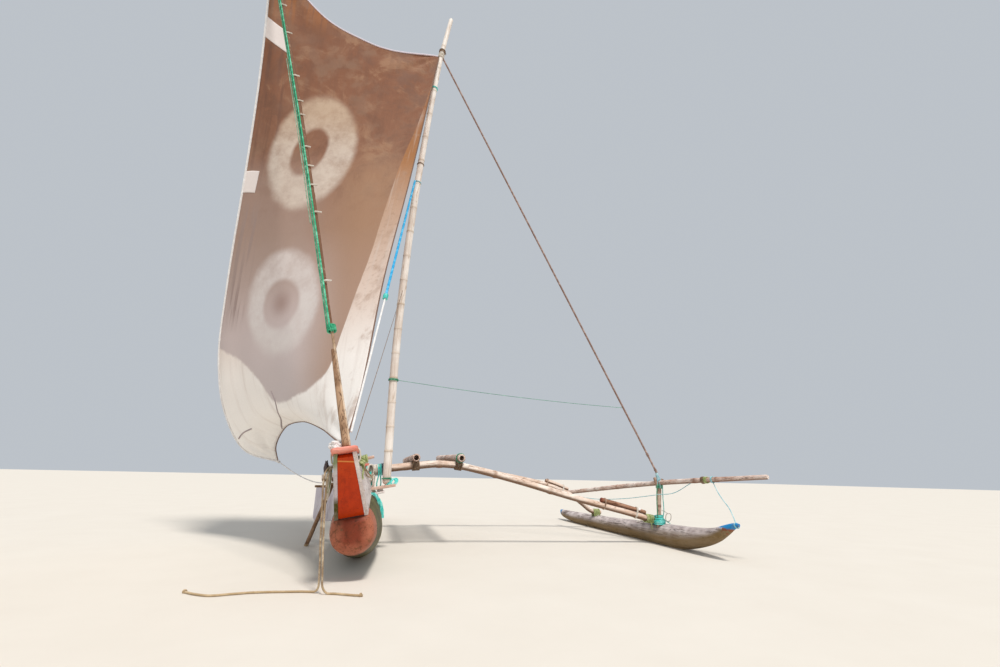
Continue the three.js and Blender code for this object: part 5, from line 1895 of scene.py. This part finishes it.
def buildBowGear():
    white = sailcloth("bundled cloth", ("#d9d4d2", "#f3f0ee"))
    dark = sailcloth("dark rag", ("#3a3236", "#5a4c50"))
    clothBundle("bow_cloth", (-0.195, -3.040, 1.046), (0.085, 0.085, 0.044), white, 3)
    clothBundle(
        "splice_cloth", boomAt("fore", 3.70)[0] + up * 0.085, (0.050, 0.036, 0.024), white, 5,
    )
    clothBundle("bow_rag", (-0.262, -2.955, 0.885), (0.020, 0.030, 0.055), dark, 8)
    bm = bmesh.new()
    hank(bm, (-0.232, -2.935, 0.885), (0.3, 1, 0), 0.24, 0.035, 7, 0.006, seed=2)
    settle(bm, "bow_green_hank", "hull", finishes["straw_green"])
    bm = bmesh.new()
    hank(bm, (-0.225, -2.915, 0.88), (0.2, 1, 0), 0.30, 0.03, 4, 0.006, seed=6)
    settle(bm, "bow_white_hank", "hull", finishes["pale_rope"])
    # turns that hold the cap down on the board and planks
    bm = bmesh.new()
    over = fromHull(0, 0, 1) - fromHull(0, 0, 0)
    for number, y in enumerate((-2.985, -3.02)):
        at = fromHull(0, y, 0.985)
        lash(bm, at, aft, over, (0.103, 0.056), 2, 0.006, seed=number + 2, square=0.5)
    settle(bm, "near_cap_lashing", "hull", finishes["pale_rope"])
    bm = bmesh.new()
    for number, y in enumerate((2.985, 3.02)):
        at = fromHull(0, y, 0.985)
        lash(bm, at, aft, over, (0.103, 0.056), 2, 0.006, seed=number + 7, square=0.5)
    settle(bm, "far_cap_lashing", "hull", finishes["pale_rope"])
    # the peg's knot on the float's side, and the rope that runs aft from it along the plank
    bm = bmesh.new()
    pegAt = fromHull(0.118, -2.95, 0.944)
    lash(bm, pegAt, fromHull(1, 0, 0.1) - fromHull(0, 0, 0), up, (0.016, 0.016), 5, 0.010, seed=3)
    lash(
        bm, pegAt + Vector((-0.01, -0.01, -0.01)), Vector((0.4, 0.3, 1)), aft, (0.028, 0.028), 3, 0.009,
        seed=5,
    )
    tail(bm, pegAt - up * 0.03, Vector((1, -0.4, 0)), 0.12, 0.007, seed=1)
    settle(bm, "bow_peg_knot", "hull", finishes["straw_green"])
    bm = bmesh.new()
    points = [pegAt + Vector((0.01, 0.02, 0)), fromHull(0.118, -2.75, 0.930), fromHull(0.132, -2.35, 0.870),
              fromHull(0.160, -1.85, 0.812), fromHull(0.172, -1.45, 0.800), fromHull(0.176, -1.10, 0.820)]
    rope(bm, smoothLine(points), 0.008)
    points = [p + Vector((0.012, 0, -0.022)) for p in map(Vector, points)]
    points[2] -= up * 0.03
    rope(bm, smoothLine(points), 0.006)
    settle(bm, "plank_rope", "hull", finishes["straw_rope"])
    # ropes heaped round the fore boom's seat, and a coil beside the mast's foot
    bm = bmesh.new()
    hank(bm, fromHull(0.172, -1.02, 0.93), (0.8, 1, 0), 0.24, 0.07, 9, 0.009, seed=4)
    hank(bm, fromHull(0.20, -1.06, 0.80), (0.2, 1, 0), 0.20, 0.045, 5, 0.007, seed=9)
    at, along = boomAt("fore", 0.10)
    lash(bm, at, along, up, (0.050, 0.050), 9, 0.009, seed=21, slant=0.1)
    settle(bm, "step_white_hank", "hull", finishes["pale_rope"])
    bm = bmesh.new()
    at, along = boomAt("fore", 0.17)
    lash(bm, at, along, up, (0.052, 0.052), 3, 0.009, seed=11)
    for x in (0.012, -0.012):
        start = at + Vector((x, -0.060, 0.03))
        rope(
            bm,
            smoothLine([start, start - up * 0.10, start + Vector((x, -0.01, -0.20)), start - up * 0.26]),
            0.008, sides=8,
        )
    settle(bm, "boom_seat_teal_lashing", "hull", finishes["teal_rope"])
    bm = bmesh.new()
    at = boomAt("fore", 0.235)[0]
    lash(bm, at, along, up, (0.049, 0.049), 5, 0.011, seed=13)
    settle(bm, "boom_seat_dark_lashing", "hull", finishes["dark_rope"])
    # a teal strip of net that lies down the flank under the step
    strip = bmesh.new()
    rings = []
    fall = [(0.150, 0.618), (0.182, 0.580), (0.214, 0.528), (0.236, 0.460), (0.243, 0.395), (0.241, 0.325)]
    for step, p in enumerate(evenly(smoothLine([fromHull(u, -1.262, v) for u, v in fall]), 18)):
        wide = 0.027 * (1 - 0.02 * step) + 0.004 * noise.noise(Vector((step * 0.4, 0, 0)))
        ring = []
        for k in range(12):
            a = 2 * math.pi * k / 12
            ring.append(
                p
                + Vector(
                    (0.012 + wide * math.cos(a), 0.006 * math.sin(a) + 0.004 * math.sin(3 * a + step), 0)
                )
            )
        rings.append(ring)
    skin(strip, rings)
    settle(strip, "step_teal_strip", "hull", finishes["teal_rope"])
    # mast step bindings on the step plank's outer end
    bm = bmesh.new()
    for number in range(4):
        at = fromHull(0.380 + 0.014 * number, -1.170, 0.688 + 0.005 * (number % 2))
        line = loopRound(
            at, Vector((1, 0.3 * number, 0.35)), up + aft * 0.6, 0.050 - 0.004 * number, 0.034, square=1.0,
        )
        rope(bm, line, 0.0085, sides=8, closed=True, side=aft)
    settle(bm, "step_end_lashing", "hull", finishes["teal_rope"])
    bm = bmesh.new()
    prop = Vector((-0.340, -0.895, 0.81))
    lash(bm, prop + Vector((0, 0.03, 0)), Vector((1, 0, 0.17)), up, (0.075, 0.05), 4, 0.005, seed=3)
    settle(bm, "prop_lashing", "hull", finishes["pale_rope"])


buildBowGear()

print("floor and light")
studio = {
    "floor": 120, "keyPower": 2.9, "keySize": 10, "keyPlace": (2.0, -9.5, 17), "skyColour": "#e6edf5",
    "skyPower": 0.64,
}


def buildStudio():
    material, tree, shader = newMaterial("pale floor")
    place = node(tree, "TexCoord").outputs["Object"]
    mottle = speckle(tree, place, 1.5, 5.0, 0.6)
    colour = blend(tree, mottle, "#d8d0c4", "#e0d9ce")
    tree.links.new(colour, shader.inputs["Base Color"])
    shader.inputs["Roughness"].default_value = 0.9
    bm = bmesh.new()
    bmesh.ops.create_grid(bm, x_segments=1, y_segments=1, size=studio["floor"])
    mesh = bpy.data.meshes.new("floor")
    bm.to_mesh(mesh)
    bm.free()
    mesh.materials.append(material)
    floor = bpy.data.objects.new("floor", mesh)
    bpy.context.scene.collection.objects.link(floor)
    world = bpy.data.worlds.new("studio")
    world.use_nodes = True
    background = world.node_tree.nodes["Background"]
    background.inputs[0].default_value = paint(studio["skyColour"])
    background.inputs[1].default_value = studio["skyPower"]
    bpy.context.scene.world = world
    lamp = bpy.data.lights.new("key", "SUN")
    lamp.energy = studio["keyPower"]
    lamp.angle = math.radians(studio["keySize"])
    lamp.color = (1.0, 0.965, 0.92)
    key = bpy.data.objects.new("key", lamp)
    key.location = studio["keyPlace"]
    key.rotation_mode = "QUATERNION"
    key.rotation_quaternion = Vector(studio["keyPlace"]).to_track_quat("Z", "Y")
    bpy.context.scene.collection.objects.link(key)
    bpy.context.scene.view_settings.view_transform = "Standard"


buildStudio()
